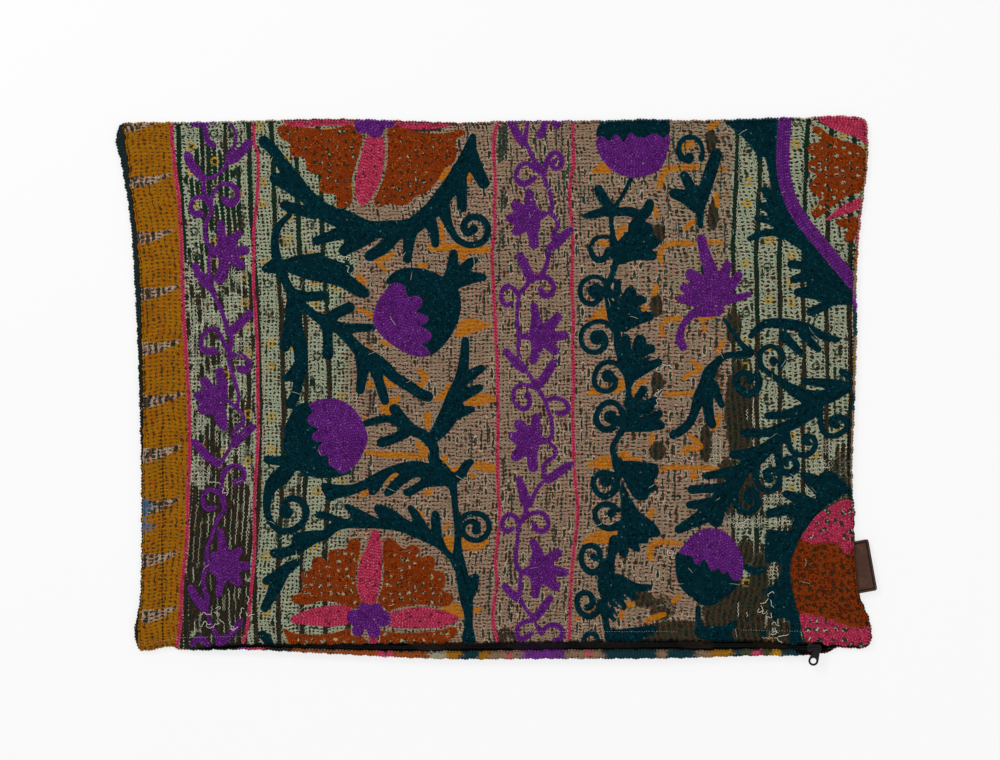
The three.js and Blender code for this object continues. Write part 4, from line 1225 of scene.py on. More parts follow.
def strands(starts, ends, normals, bow, half_width, height, sink=0.25):
    """Closed strands from start to end that bow sideways. Gives points (n, 5, 3) and triangles (n, 6, 3)."""
    run = ends - starts
    side = np.cross(normals, run)
    side /= np.linalg.norm(side, axis=1)[:, None]
    up = normals
    middle = (starts + ends) / 2 + side * bow[:, None]
    low = middle - up * sink
    points = np.stack([
        starts + up * (height * 0.3)[:, None],
        low + side * half_width[:, None],
        middle + up * height[:, None],
        low - side * half_width[:, None],
        ends + up * (height * 0.45)[:, None],
    ], axis=1)
    count = len(starts)
    triangles = STRAND[None] + 5 * np.arange(count)[:, None, None]
    return points, triangles


def chain_stitches(starts, ends, normals, width=1.9, height=PILE):
    """Each stitch of a chain: two strands that part and meet again."""
    count = len(starts)
    wobble = random.uniform(0.9, 1.1, count)
    tall = height * random.uniform(0.82, 1.0, count)
    bow = width * 0.24 * wobble
    slim = np.full(count, width * 0.25)
    left = strands(starts, ends, normals, bow, slim, tall)
    right = strands(starts, ends, normals, -bow, slim, tall)
    points = np.concatenate([left[0], right[0]])
    triangles = np.concatenate([left[1], right[1] + 5 * count])
    tone = random.normal(0, 1, count).clip(-2, 2)
    return points, triangles, np.tile(np.repeat(tone, 5), 2)


def on_front(flat_points, drop=PILE):
    """Places on the front cloth, in the round."""
    height = front_top(flat_points[:, 0], flat_points[:, 1]) - drop
    return np.column_stack([flat_points, height])


def up_normals(count, z=1.0):
    """The same upright direction for each of a number of places."""
    return np.tile(np.array([0.0, 0.0, z]), (count, 1))


# ---------------------------------------------------------------- materials


def colour(code):
    """A colour written as six hex digits, in the renderer's own linear values."""
    channels = [int(code[k : k + 2], 16) / 255 for k in (0, 2, 4)]
    return (*[c / 12.92 if c <= 0.04045 else ((c + 0.055) / 1.055) ** 2.4 for c in channels], 1)


class Field:
    """A number that varies over a surface. Arithmetic on it adds maths nodes to its material."""

    def __init__(self, tree, socket):
        self.tree = tree
        self.socket = socket

    def made(self, operation, *others):
        """The field that a maths node makes of this one and the others."""
        node = self.tree.nodes.new("ShaderNodeMath")
        node.operation = operation
        for place, value in enumerate((self, *others)):
            if isinstance(value, Field):
                self.tree.links.new(value.socket, node.inputs[place])
            else:
                node.inputs[place].default_value = value
        return Field(self.tree, node.outputs[0])

    def __add__(self, other):
        return self.made("ADD", other)

    def __sub__(self, other):
        return self.made("SUBTRACT", other)

    def __mul__(self, other):
        return self.made("MULTIPLY", other)

    def __truediv__(self, other):
        return self.made("DIVIDE", other)

    def fraction(self):
        return self.made("FRACT")

    def whole(self):
        return self.made("FLOOR")

    def size(self):
        return self.made("ABSOLUTE")

    def wave(self):
        return self.made("SINE")

    def other_way(self):
        """1 where the field is 0, and 0 where it is 1."""
        return self.made("MULTIPLY_ADD", -1.0, 1.0)

    def off_middle(self):
        """How far a field is from the middle between two whole numbers, from 0 to 0.5."""
        return (self.fraction() - 0.5).size()

    def diagonal(self, other):
        """How long a step is that goes this far one way and that far at right angles to it."""
        return (self * self + other * other).made("SQRT")

    def rise(self, low, high):
        """From 0 at low to 1 at high, also where low is above high."""
        node = self.tree.nodes.new("ShaderNodeMapRange")
        node.interpolation_type = "SMOOTHSTEP"
        self.tree.links.new(self.socket, node.inputs["Value"])
        node.inputs["From Min"].default_value = min(low, high)
        node.inputs["From Max"].default_value = max(low, high)
        node.inputs["To Min"].default_value = 0 if low < high else 1
        node.inputs["To Max"].default_value = 1 if low < high else 0
        return Field(self.tree, node.outputs["Result"])


class Surface:
    """A procedural material: fields to draw with, one colour that is painted over, and a bump height."""

    def __init__(self, name, base, roughness=0.9, sheen=0.0, metallic=0.0, specular=0.3):
        self.material = bpy.data.materials.new(name)
        self.material.use_nodes = True
        self.tree = self.material.node_tree
        self.shader = self.tree.nodes["Principled BSDF"]
        self.shader.inputs["Roughness"].default_value = roughness
        self.shader.inputs["Metallic"].default_value = metallic
        self.shader.inputs["Specular IOR Level"].default_value = specular
        if sheen:
            self.shader.inputs["Sheen Weight"].default_value = sheen
            self.shader.inputs["Sheen Roughness"].default_value = 0.5
        self.paint = colour(base)
        coordinates = self.tree.nodes.new("ShaderNodeTexCoord")
        scale = self.tree.nodes.new("ShaderNodeVectorMath")
        scale.operation = "SCALE"
        scale.inputs["Scale"].default_value = 1 / MM
        self.tree.links.new(coordinates.outputs["Object"], scale.inputs[0])
        self.place = scale.outputs[0]
        split = self.tree.nodes.new("ShaderNodeSeparateXYZ")
        self.tree.links.new(self.place, split.inputs[0])
        self.x, self.y, _ = (Field(self.tree, output) for output in split.outputs)

    def value(self, name):
        """A named value of the mesh."""
        node = self.tree.nodes.new("ShaderNodeAttribute")
        node.attribute_name = name
        return Field(self.tree, node.outputs["Fac"])

    def noise(self, size, detail=2.0, stretch=(1, 1, 1), offset=0.0):
        """Soft random patches of about this size, in millimetres, from 0 to 1."""
        mapping = self.tree.nodes.new("ShaderNodeMapping")
        mapping.inputs["Location"].default_value = (offset, offset * 1.7, offset * 0.6)
        mapping.inputs["Scale"].default_value = [1 / (size * s) for s in stretch]
        self.tree.links.new(self.place, mapping.inputs["Vector"])
        return self.noise_at(mapping.outputs[0], detail)

    def noise_at(self, vector, detail):
        node = self.tree.nodes.new("ShaderNodeTexNoise")
        node.inputs["Scale"].default_value = 1.0
        node.inputs["Detail"].default_value = detail
        self.tree.links.new(vector, node.inputs["Vector"])
        return Field(self.tree, node.outputs["Fac"])

    def joined(self, across, along):
        """Two fields as one vector."""
        join = self.tree.nodes.new("ShaderNodeCombineXYZ")
        self.tree.links.new(across.socket, join.inputs[0])
        self.tree.links.new(along.socket, join.inputs[1])
        return join.outputs[0]

    def at(self, across, along, detail=1.0):
        """Noise read at a place of its own, two fields that grow by 1 from one patch to the next."""
        return self.noise_at(self.joined(across, along), detail)

    def cells(self, across, along):
        """Three random numbers from 0 to 1 for each whole step of two fields."""
        node = self.tree.nodes.new("ShaderNodeTexWhiteNoise")
        node.noise_dimensions = "2D"
        self.tree.links.new(self.joined(across.whole(), along.whole()), node.inputs["Vector"])
        split = self.tree.nodes.new("ShaderNodeSeparateXYZ")
        self.tree.links.new(node.outputs["Color"], split.inputs[0])
        return [Field(self.tree, output) for output in split.outputs]

    def over(self, code, amount):
        """Paints a colour over what is there, by this much."""
        node = self.tree.nodes.new("ShaderNodeMix")
        node.data_type = "RGBA"
        self.tree.links.new(amount.socket, node.inputs["Factor"])
        if isinstance(self.paint, tuple):
            node.inputs["A"].default_value = self.paint
        else:
            self.tree.links.new(self.paint, node.inputs["A"])
        node.inputs["B"].default_value = colour(code)
        self.paint = node.outputs["Result"]

    def over_value(self, name, amount):
        """Paints a named colour of the mesh over what is there."""
        self.over("000000", amount)
        node = self.tree.nodes.new("ShaderNodeAttribute")
        node.attribute_name = name
        mix = self.paint.node
        self.tree.links.new(node.outputs["Color"], mix.inputs["B"])

    def shade(self, amount):
        """Multiplies the colour by a field."""
        node = self.tree.nodes.new("ShaderNodeVectorMath")
        node.operation = "SCALE"
        if isinstance(self.paint, tuple):
            node.inputs[0].default_value = self.paint[:3]
        else:
            self.tree.links.new(self.paint, node.inputs[0])
        self.tree.links.new(amount.socket, node.inputs["Scale"])
        self.paint = node.outputs[0]

    def bump(self, height, strength, distance):
        node = self.tree.nodes.new("ShaderNodeBump")
        node.inputs["Strength"].default_value = strength
        node.inputs["Distance"].default_value = distance
        self.tree.links.new(height.socket, node.inputs["Height"])
        self.tree.links.new(node.outputs[0], self.shader.inputs["Normal"])

    def rough(self, field):
        self.tree.links.new(field.socket, self.shader.inputs["Roughness"])

    def done(self):
        if isinstance(self.paint, tuple):
            self.shader.inputs["Base Color"].default_value = self.paint
        else:
            self.tree.links.new(self.paint, self.shader.inputs["Base Color"])
        return self.material


PALE_TONE = 3.0  # marks a stitch of the pale colour


def yarn(name, base, dark, light, pale=None):
    """Wool or cotton thread: each stitch has its own tone, and there are fine hairs along it."""
    surface = Surface(name, base, roughness=1.0, specular=0.04)
    tone = surface.value("tone")
    surface.over(dark, tone.rise(-0.2, -2.2))
    surface.over(light, tone.rise(0.3, 2.2) * 0.8)
    worn = surface.noise(22, detail=3)
    surface.over(dark, worn.rise(0.55, 0.75) * 0.35)
    if pale:
        surface.over(pale, tone.rise(PALE_TONE - 0.6, PALE_TONE - 0.5))
    fibre = surface.noise(0.5, detail=1)
    surface.shade(fibre * 0.5 + 0.75)
    surface.bump(fibre, 0.5, 0.0003)
    return surface.done()


# Base, dark and light colour of each yarn.
PURPLE = ("8a34a2", "561a6a", "a85cc0")
TEAL = ("04343f", "000f15", "15606e")
RUST = ("ae4510", "5a1f09", "d8752e")
PINK = ("ec4c76", "9c2844", "f08099")

ROW_GAP = 3.5  # between rows of running stitch
STRIPE = 21.7  # from one printed stripe to the next
LANES = 4.0  # dark bands and pale threads to a stripe
SLIT_PITCH = 13.0  # down the cloth, between the slits of its beige middle
RING_PITCH = 25.0  # down the cloth, between the rings
RING_RADIUS = 3.2
TURN_ROUND = 2 * math.pi
MUSTARD_CHAIN_X = -311.0  # of the chain of black dots
STAIN_X = -329.0
STAINS = ((-109, 9), (-126, 8))  # y and reach of each blue stain


class Ground(Surface):
    """The quilted print under the embroidery: stripes, rings, leaf prints and wear."""

    def __init__(self):
        super().__init__("quilted_print", "6b745f", roughness=1.0, specular=0.04)
        self.beige = self.value("beige")
        self.mustard = self.value("mustard")
        self.worn = self.value("worn")
        self.stripe = self.value("stripe")
        self.row = self.value("row")
        self.column = self.value("column")
        self.mottle = self.noise(14, detail=3)
        self.fine = self.noise(2.4, detail=2)
        self.grain = self.noise(1.1, detail=2, offset=5.0)
        self.rust_fleck = self.noise(3.2, detail=1, offset=7.0).rise(0.54, 0.64)
        self.patchy = self.noise(8, detail=2, offset=4.0)
        self.sage = self.beige.other_way() * self.mustard.other_way()
        # the crests of the swells between rows, where the paint adds a highlight
        self.lit_crest = self.row.off_middle().rise(0.42, 0.12)

    def paint_cloth(self):
        """The cloth, with painted highlight on the crests between the rows of running stitch and painted
        shade in patches of the dips along them.
        """
        beige, mustard, mottle, grain, lit_crest = self.beige, self.mustard, self.mottle, self.grain, self.lit_crest
        dark_patch = self.noise(5, detail=2, offset=1.0).rise(0.4, 0.6)
        self.over("565a45", mottle.rise(0.42, 0.68) * 0.6)
        # pale grain, strongest where a painted highlight lies on the crests
        self.over("9aa38a", grain.rise(0.4, 0.62) * (lit_crest * 0.5 + 0.22))
        self.over("745f49", beige)
        self.over("645440", beige * mottle.rise(0.45, 0.65) * 0.6)
        self.over("86685a", beige * self.fine.rise(0.48, 0.6) * 0.75)
        # pale grain on the beige, strongest where a painted highlight lies on the crests
        self.over("9a856f", beige * (lit_crest * 0.6 + 0.2) * grain.rise(0.42, 0.62) * 0.75)
        # painted shade in patches along the dips of the rows
        self.over("4d4c39", beige * lit_crest.other_way() * dark_patch * 0.7)
        self.over("8a5a0a", mustard)
        self.over("6e460a", mustard * mottle.rise(0.42, 0.7) * 0.6)
        self.over("9c6b0a", mustard * lit_crest * grain.rise(0.4, 0.6) * 0.6)
        self.over("8c430c", mustard * self.rust_fleck * 0.7)

    def paint_mustard_leaves(self):
        """The mustard strip's leaves, with upright dark slits."""
        self.leaf = (self.value("leaf") + (self.fine - 0.5) * 1.4).rise(-0.2, 0.5)
        on_leaf = self.mustard * self.leaf
        torn = self.noise(4, detail=1, stretch=(1, 3, 1), offset=2.0).rise(0.55, 0.6)
        self.over("8c775f", on_leaf)
        self.over("aa9682", on_leaf * self.grain.rise(0.45, 0.6))
        self.over("7d4f45", on_leaf * self.rust_fleck * 0.6)
        self.over("15130c", on_leaf * torn * 0.85)

    def paint_wear(self):
        """Worn down to plain dark cloth."""
        worn, fine, mottle = self.worn, self.fine, self.mottle
        ragged = worn + (fine - 0.5) * 0.5 + (mottle - 0.5) * 0.5
        through = (mottle - 0.5 + worn * 0.85).rise(0.2, 0.5)
        self.threadbare = ragged.rise(0.62, 0.8) * worn.rise(0.35, 0.6) * through
        self.over("2f2e22", self.threadbare)
        self.over("3a3225", self.threadbare * fine.rise(0.5, 0.62) * 0.6)

    def paint_ochre_leaves(self):
        """Leaf prints in ochre."""
        self.ochre = (self.value("ochre") + (self.fine - 0.5) * 1.5).rise(-0.3, 0.4)
        self.over("a8650a", self.ochre)
        self.over("8f4f0c", self.ochre * self.fine.rise(0.5, 0.62) * 0.7)
        self.over("bd7f1a", self.ochre * self.grain.rise(0.5, 0.66) * 0.6)

    def paint_lanes(self):
        """Lanes a quarter of a stripe wide: dark bands between crinkled pale threads."""
        worn, fine, grain, lit_crest, row = self.worn, self.fine, self.grain, self.lit_crest, self.row
        strip = self.x.rise(-226, -232) * self.y.rise(152, 118) * self.sage
        low = strip * self.y.rise(-70, -100)
        self.lane = self.stripe * LANES
        number = self.number = (self.lane + 0.5).whole()
        from_lane = self.from_lane = (self.lane - number).size()
        main = (number / LANES).off_middle().rise(0.3, 0.45) * self.sage

        chance = self.at(number * 3.71, self.y / 34.0, detail=2)
        short = self.at(number * 5.13, self.y / 11.0, detail=1)
        dark_here = chance * 0.6 + short * 0.25 + (worn * 0.46 + main * 0.36) * strip.other_way() + 0.02
        dark_here = dark_here + strip * 0.1 + low * 0.1 - self.beige - self.mustard

        uneven = self.at(number * 2.3, self.y / 23.0, detail=1)
        crinkle = (row * TURN_ROUND).wave() * 0.06 + (row * (2 * TURN_ROUND) + number).wave() * 0.05
        band = (fine - 0.5) * 0.22 + (uneven - 0.5) * 0.4 + worn.rise(0.5, 1.0) * 0.12 + crinkle + 0.42
        band = band + main * 0.06 + strip * 0.02 + low * 0.05
        # pale threads in the strip, brighter on the crests by a painted highlight
        self.over("c4c3a5", strip * from_lane.rise(0.3, 0.44) * grain.rise(0.3, 0.45) * (lit_crest * 0.65 + 0.15))

        slit = dark_here.rise(0.53, 0.57) * (band + (grain - 0.5) * 0.16 - from_lane).rise(-0.03, 0.03)
        slit = self.slit = slit * (self.threadbare * strip.other_way() * -0.8 + 1.0)
        green = self.noise(45, detail=2, offset=3.0) + self.y.rise(60, 140) * 0.22 - worn * 0.2
        green = self.green = green.rise(0.54, 0.62)
        self.over("2b261c", slit)
        self.over("0b2c20", slit * green * 0.95)
        self.over("12140e", slit * grain.rise(0.5, 0.7) * 0.6)
        self.over("4a3c2c", slit * fine.rise(0.55, 0.7) * green.other_way() * 0.5)

        rim = (from_lane - band - 0.06 + (grain - 0.5) * 0.12).size().rise(0.1, 0.04)
        rim = rim * dark_here.rise(0.51, 0.55) * fine.rise(0.36, 0.5) * self.threadbare.other_way()
        bare = worn.rise(0.45, 0.95) * self.noise(17, detail=2, offset=6.0).rise(0.35, 0.5)
        # pale rims of the slits, brighter on the crests by a painted highlight
        self.over("c4c3a8", rim * (bare * -0.7 + 0.8) * (lit_crest * 0.6 + 0.4))

    def paint_short_slits(self):
        """Short slits with rounded ends in the beige middle."""
        step_down = self.y / SLIT_PITCH + self.number * 0.37
        wide, tall, often = self.cells(self.lane + 0.5, step_down)
        across = self.from_lane * (STRIPE / LANES) / (wide * 0.9 + 0.45)
        up = step_down.off_middle() * SLIT_PITCH / (tall * 3.4 + 1.6)
        away = across.diagonal(up) + (self.fine - 0.5) * 0.7 + (self.grain - 0.5) * 0.4
        often = often + (self.noise(40, detail=1, offset=8.0) - 0.5) * 2.0 + self.worn * 0.5
        torn = self.beige * self.threadbare.other_way() * (self.ochre * -0.9 + 1.0) * often.rise(0.58, 0.6)
        self.in_slit = torn * away.rise(1.4, 1.1)
        self.over("b7a590", torn * (away - 1.35).size().rise(0.45, 0.15) * 0.75)
        self.over("3a3c2b", torn * away.rise(1.15, 0.9))
        self.over("17352a", torn * away.rise(1.15, 0.9) * self.green * 0.8)
        self.over("1d2118", torn * (away - 0.95).size().rise(0.2, 0.05) * 0.7)

    def paint_dots(self):
        """A dark dot at each running stitch in a net of paler threads, some run together down the cloth. The
        dots are partly the stitch's dark holes and partly painted shadow round it.
        """
        beige, mustard, patchy, leaf = self.beige, self.mustard, self.patchy, self.leaf
        bend = (self.noise(9, detail=2, offset=9.0) - 0.5) * 0.3 + (self.fine - 0.5) * 0.3
        self.across = self.column + bend
        self.along = self.row + bend
        one, two, three = self.cells(self.across, self.along + 0.5)
        self.from_row = (self.along + 0.5).off_middle() * ROW_GAP
        from_middle = self.across.off_middle() * DASH_PITCH
        plain = mustard * leaf.other_way()
        wide = one * 0.9 + beige * 0.15 + plain * -0.3 + mustard * leaf * 0.2 + 0.7
        together = (three + self.worn * 0.3 + (patchy - 0.5) * 0.7 + mustard * leaf * 0.15).rise(0.8, 0.84)
        tall = two * 0.6 + together * 1.3 + beige * -0.2 + plain * -0.15 + 0.6
        dot = (from_middle / wide).diagonal(self.from_row / tall) + (self.grain - 0.5) * 0.7
        clear = self.slit.other_way() * self.in_slit.other_way() * self.threadbare.other_way()
        net = (dot - 1.7).size().rise(0.65, 0.2) * clear * (self.ochre * -0.8 + 1.0)
        self.over("b6b99c", self.sage * net * 0.48)
        self.over("b29b84", beige * net * 0.4)
        amount = self.sage * 0.95 + beige * (patchy.rise(0.36, 0.56) * 0.5 + 0.42)
        amount = amount + plain * 0.75 + mustard * leaf * 0.9
        # dark dots: the stitch's dark holes and a painted shadow round each running stitch
        self.over("141d16", dot.rise(1.3, 0.85) * amount * (self.ochre * -0.7 + 1.0))

    def paint_mustard_marks(self):
        """A chain of black dots down the mustard strip, and blue stains on its edge."""
        wander = (self.noise(30, detail=1, offset=4.0) - 0.5) * 6.0
        chain = (self.x - MUSTARD_CHAIN_X + wander).size().rise(1.15, 0.75)
        here = self.mustard * chain * self.from_row.rise(1.45, 1.1) * self.y.rise(-10, -40)
        self.over("120f08", here * 0.9)
        for middle_y, reach in STAINS:
            away = (self.y - middle_y).size() / reach + (self.x - STAIN_X).size() / 9.0
            ragged = away + (self.fine - 0.5) * 4.0 + (self.patchy - 0.5) * 2.0
            self.over("2c6488", self.mustard * ragged.rise(0.95, 0.75) * 0.7)

    def paint_red_specks(self):
        """A red speck between the dots here and there, most of all where the cloth is worn."""
        one, two, _ = self.cells(self.across + 0.5, self.along + 0.5)
        from_red = ((self.across + 0.5).fraction() - 0.5) * DASH_PITCH
        away = from_red.diagonal(self.from_row) / (two * 0.4 + 0.4)
        often = one + self.beige * 0.3 + self.mustard * 0.25 + self.ochre * 0.3 + self.threadbare * 0.3
        red = away.rise(1.25, 0.8) * (often + self.patchy * 0.7).rise(1.08, 1.12)
        clear = (self.slit * -0.5 + 0.9) * (self.threadbare * -0.6 + 1.0)
        self.over("96331f", red * self.mustard.other_way() * clear)
        self.over("9a420c", red * self.mustard * 0.9)

    def paint_rings(self):
        """Rings between the stripes, some of them rings of yellow dots."""
        across = self.stripe.off_middle() * STRIPE
        step_down = self.y / RING_PITCH + self.stripe.whole() * 0.37
        kind, shift, _ = self.cells(self.stripe, step_down)
        up = (step_down.fraction() - 0.5) * RING_PITCH + (shift - 0.5) * 8.0
        away = (across.diagonal(up) - RING_RADIUS + (self.fine - 0.5) * 1.6).size()
        ring = away.rise(1.3, 0.6) * self.sage * self.worn.rise(0.9, 0.5) * self.grain.rise(0.38, 0.5)
        self.over("1a241a", ring * kind.rise(0.55, 0.56))
        self.over("a9800f", ring * kind.rise(0.45, 0.44))

    def paint_under_stitches(self):
        """What shows in the gaps of each colour of embroidery and between its stitches."""
        fine = self.fine
        lower_right = self.x.rise(262, 268) * self.y.rise(0, -10)
        pale_corner = self.x.rise(200, 210) * self.y.rise(60, 70)
        pale_holes = self.x.rise(0, -10) * (fine + self.y.rise(-100, -110) * 0.1).rise(0.56, 0.64)
        for name, code in (("pinks", "2c2f25"), ("rusts", "2c2614")):
            filled = (self.value(name) + lower_right * 1.6).rise(-0.2, 0.5)
            self.over(code, filled * pale_corner.other_way())
        self.over("9c977c", self.value("rusts").rise(-0.2, 0.5) * pale_holes)
        self.over("b3ae92", self.value("pinks").rise(-0.2, 0.5) * lower_right * fine.rise(0.56, 0.62))
        for name, code, low, high in (
            ("pink", "8e2a44", -0.2, 0.5),
            ("rust", "733211", -0.2, 0.5),
            ("teal", "03262d", -0.45, 0.05),
            ("purple", "4a1a5c", -0.45, 0.05),
        ):
            self.over(code, self.value(name).rise(low, high))

    def finish(self):
        """The shaded lips on each side of the zip, and the grain of the threads."""
        # painted shade over the lips along the zip
        self.over("080807", self.value("lip") * self.x.rise(-285, -265) * 0.92)
        self.shade(self.grain * 0.7 + self.mustard * 0.06 + 0.61)
        self.bump(self.grain + self.fine * 0.8, 0.7, 0.0006)
        return self.done()


def ground_material():
    ground = Ground()
    ground.paint_cloth()
    ground.paint_mustard_leaves()
    ground.paint_wear()
    ground.paint_ochre_leaves()
    ground.paint_lanes()
    ground.paint_short_slits()
    ground.paint_dots()
    ground.paint_mustard_marks()
    ground.paint_red_specks()
    ground.paint_rings()
    ground.over_value("edge_dye", ground.value("edge"))  # the back cloth's rolled edge
    ground.paint_under_stitches()
    return ground.finish()




# ---------------------------------------------------------------- front cloth

COLUMNS = 300
QUILT_ROWS = 141  # rows of running stitch across the cloth
ROWS = 2 * QUILT_ROWS
PUCKER = 0.45  # how far the cloth dips along its rows of running stitch
THIN = CLOTH - PILE
SHELL_STEP = 6  # fine grid points to one coarse one, on the side of a cloth that doesn't show
COLOUR_GAP = 0.3  # between two colours of embroidery
RUST_UNDER = 1.7  # how far rust runs in under pink
LOWER_RIGHT = (270, 0)  # the flower at the lower right lies beyond this x and below this y


def embroidery_depths():
    """How deep each place of the front cloth lies inside each colour, with and without its small gaps."""
    purple = depth_of(PURPLE_STROKES, PURPLE_AREAS)
    pink = depth_of(PINK_STROKES, PINK_AREAS)
    lines = depth_of(PINK_LINES)
    rust = depth_of(RUST_STROKES, RUST_AREAS)
    teal = np.minimum(depth_of(TEAL_STROKES, TEAL_AREAS), -depth_of(TEAL_CUTS))
    pinks = outside(pink, purple)
    rusts = outside(rust, purple, pink)
    right, low = LOWER_RIGHT
    cut_dots(pink, 7.8, 1.8, 2.9, share=0.92, left=right, top=low)
    cut_dots(rust, 7.4, 1.3, 2.2, share=0.9, right=right)
    cut_dots(rust, 7.6, 1.5, 2.2, share=0.92, left=right, top=low)
    cut_dots(rust, 7.0, 1.3, 2.2, share=0.95, left=right)
    pink = outside(pink, purple)
    lines = outside(lines, purple)
    rust = np.minimum(outside(rust, purple), RUST_UNDER - pinks)
    teal = outside(teal, purple, pink, rust, pinks, rusts)
    depths = {"purple": purple, "pink": pink, "lines": lines, "rust": rust, "teal": teal}
    return depths, {"pinks": pinks, "rusts": rusts}


def outside(depth, *others):
    """A colour that stops just short of the others."""
    for other in others:
        depth = np.minimum(depth, -other - COLOUR_GAP)
    return depth


WHOLE, FIELDS = embroidery_depths()


def ended(depth, sides, margin):
    """A colour that ends this far inside a cloth's sides."""
    return np.minimum(depth, inward(sides, GRID_X, GRID_Y).min(axis=0) - margin)


DEPTHS = {name: ended(depth, LIP, 0.4) for name, depth in WHOLE.items()}


def deepest_at(x, y):
    """How deep places lie inside whichever colour covers them most, below 0 on bare cloth."""
    return np.maximum.reduce([read(depth, x, y) for depth in DEPTHS.values()])


def is_bare(points, clear, inset):
    """Whether points lie this clear of all embroidery and this far inside the front cloth's lip."""
    return (deepest_at(*points.T) < -clear) & (inward(LIP, *points.T).min(axis=0) > inset)


# How far the stripes swing to the right of where they are at the cloth's middle. Columns: y, swing.
LEFT_SWING = [
    (250, -11), (215, -9.5), (175, -8), (135, -6), (95, -3.5), (60, -1), (30, 0), (0, 0.5), (-60, 0),
    (-105, -1), (-130, -3), (-165, -5), (-200, -4), (-250, -3),
]
RIGHT_SWING = [(250, 4), (215, 2.7), (175, 1), (135, -0.5), (0, 0), (-85, -1), (-165, 0), (-250, 1)]


LEFT_STRIPE_X = -199  # of stripe number 0 at the cloth's middle, in its left and its right part
RIGHT_STRIPE_X = 243
STRIPES_PART_X = 40


def swing(table, y):
    """A table's swing at this y."""
    table = np.array(table)
    return np.interp(-y, -table[:, 0], table[:, 1])


def stripe_middle(number, y, left):
    """x of a printed stripe's middle at this y."""
    place = np.where(left, swing(LEFT_SWING, y) + LEFT_STRIPE_X, swing(RIGHT_SWING, y) + RIGHT_STRIPE_X)
    return STRIPE * number + place


def stripe_coordinate(x, y):
    """Which stripe of the print a place is on: whole numbers are the stripes' middles."""
    sway = 0.5 * np.sin(y / 19.0 + x / 31.0) + 0.35 * np.sin(y / 7.3 + x / 11.0)
    return (x + sway - stripe_middle(0, y, x < STRIPES_PART_X)) / STRIPE


def worn_amount(x, y):
    """How worn the print is, from 0 to 1."""
    worn = np.zeros(x.shape)
    for centre_x, centre_y, half_x, half_y, strength in WORN:
        away = np.hypot((x - centre_x) / half_x, (y - centre_y) / half_y)
        worn = np.maximum(worn, strength * step(1.25, 0.7, away))
    return worn


def leaf_depth():
    """How deep each place lies inside the mustard strip's leaves."""
    depth = np.full(GRID_X.shape, FAR)
    for (left, middle), (right, tip), tall in LEAVES:
        half = tall / 2
        long = right - left
        add_area(depth, [
            (left, middle - half * 1.05), (left - 1, middle), (left, middle + half * 0.5),
            (left + long * 0.5, middle + half * 0.6), (right, tip + 1), (right + 1, tip),
            (left + long * 0.7, middle - half * 0.1), (left + long * 0.3, middle - half * 0.9),
        ])
    return depth


LEAF_DEPTH = leaf_depth()
OCHRE_DEPTH = depth_of(OCHRE_STROKES, OCHRE_AREAS)
PINK_LINE = smooth(rows_of(PINK_LINES)[0], 4.0)


def mustard_amount(x, y):
    """1 on the mustard strip, left of the first pink line."""
    edge = np.interp(-y, -PINK_LINE[:, 1], PINK_LINE[:, 0])
    return step(1.5, -0.5, x - edge)


def beige_amount(x, y):
    """1 on the beige middle, which goes over to sage at both sides and is greener at the upper right."""
    wander = 5 * np.sin(y / 31.0) + 4 * np.sin(y / 13.0 + 2)
    greener = 1 - 0.3 * step(140, 185, x) * step(40, 90, y)
    return step(-145, -128, x + wander) * step(-2, -5, x - stripe_middle(-1, y, False)) * greener


def row_sway(x, y):
    """How far a row of running stitch runs above its straight line."""
    broad = 0.6 * np.sin(x / 6.5 + 3.0 * np.sin(y / 11.0))
    return broad + 0.4 * np.sin(x / 2.9 + 4.0 * np.sin(y / 5.0 + x / 40.0))


def quilt_height(x, y, row):
    """The cloth dips along each row of running stitch and swells between rows."""
    swell = 0.5 - 0.5 * np.cos(2 * math.pi * row)
    lumps = 0.75 + 0.25 * np.sin(x / 2.1 + 3 * np.sin(y / 17.0))
    inner = step(1, 7, inward(LIP, x, y).min(axis=0))
    sewn_over = step(-1.5, 0.5, deepest_at(x, y))
    return PUCKER * (swell * lumps - 0.55) * (1 - 0.8 * sewn_over) * inner


FRONT_EDGE = Edge(COLUMNS, ROWS)


def close_rings(start, rings, count):
    """Triangles that join each ring of points to the next."""
    around = np.arange(count)
    after = np.roll(around, -1)
    bands = []
    for ring in range(rings - 1):
        here, there = start + ring * count, start + (ring + 1) * count
        bands.append(np.column_stack([here + around, here + after, there + after]))
        bands.append(np.column_stack([here + around, there + after, there + around]))
    return np.vstack(bands)


def grid_triangles(numbers):
    """Triangles over a grid of point numbers, facing +Z where rows run downwards."""
    a, b, c, d = numbers[:-1, :-1], numbers[1:, :-1], numbers[1:, 1:], numbers[:-1, 1:]
    return np.vstack([
        np.column_stack([a.ravel(), b.ravel(), c.ravel()]),
        np.column_stack([a.ravel(), c.ravel(), d.ravel()]),
    ])


def ring_numbers(columns, rows, ring_start, inner_start):
    """Numbers of a grid whose outer points are a ring and whose inner points follow each other."""
    numbers = np.empty((rows + 1, columns + 1), int)
    ring = ring_start + np.arange(2 * (columns + rows))
    numbers[0] = ring[: columns + 1]
    numbers[:, columns] = ring[columns : columns + rows + 1]
    numbers[rows] = ring[columns + rows : 2 * columns + rows + 1][::-1]
    numbers[1:, 0] = ring[2 * columns + rows :][::-1]
    numbers[1:-1, 1:-1] = inner_start + np.arange((rows - 1) * (columns - 1)).reshape(rows - 1, columns - 1)
    return numbers


def dash_pitch(x):
    """Running stitches are wider apart in the strip on the left and on the right half."""
    return DASH_PITCH - 0.5 + 1.6 * (step(-280, -290, x) + step(90, 130, x))


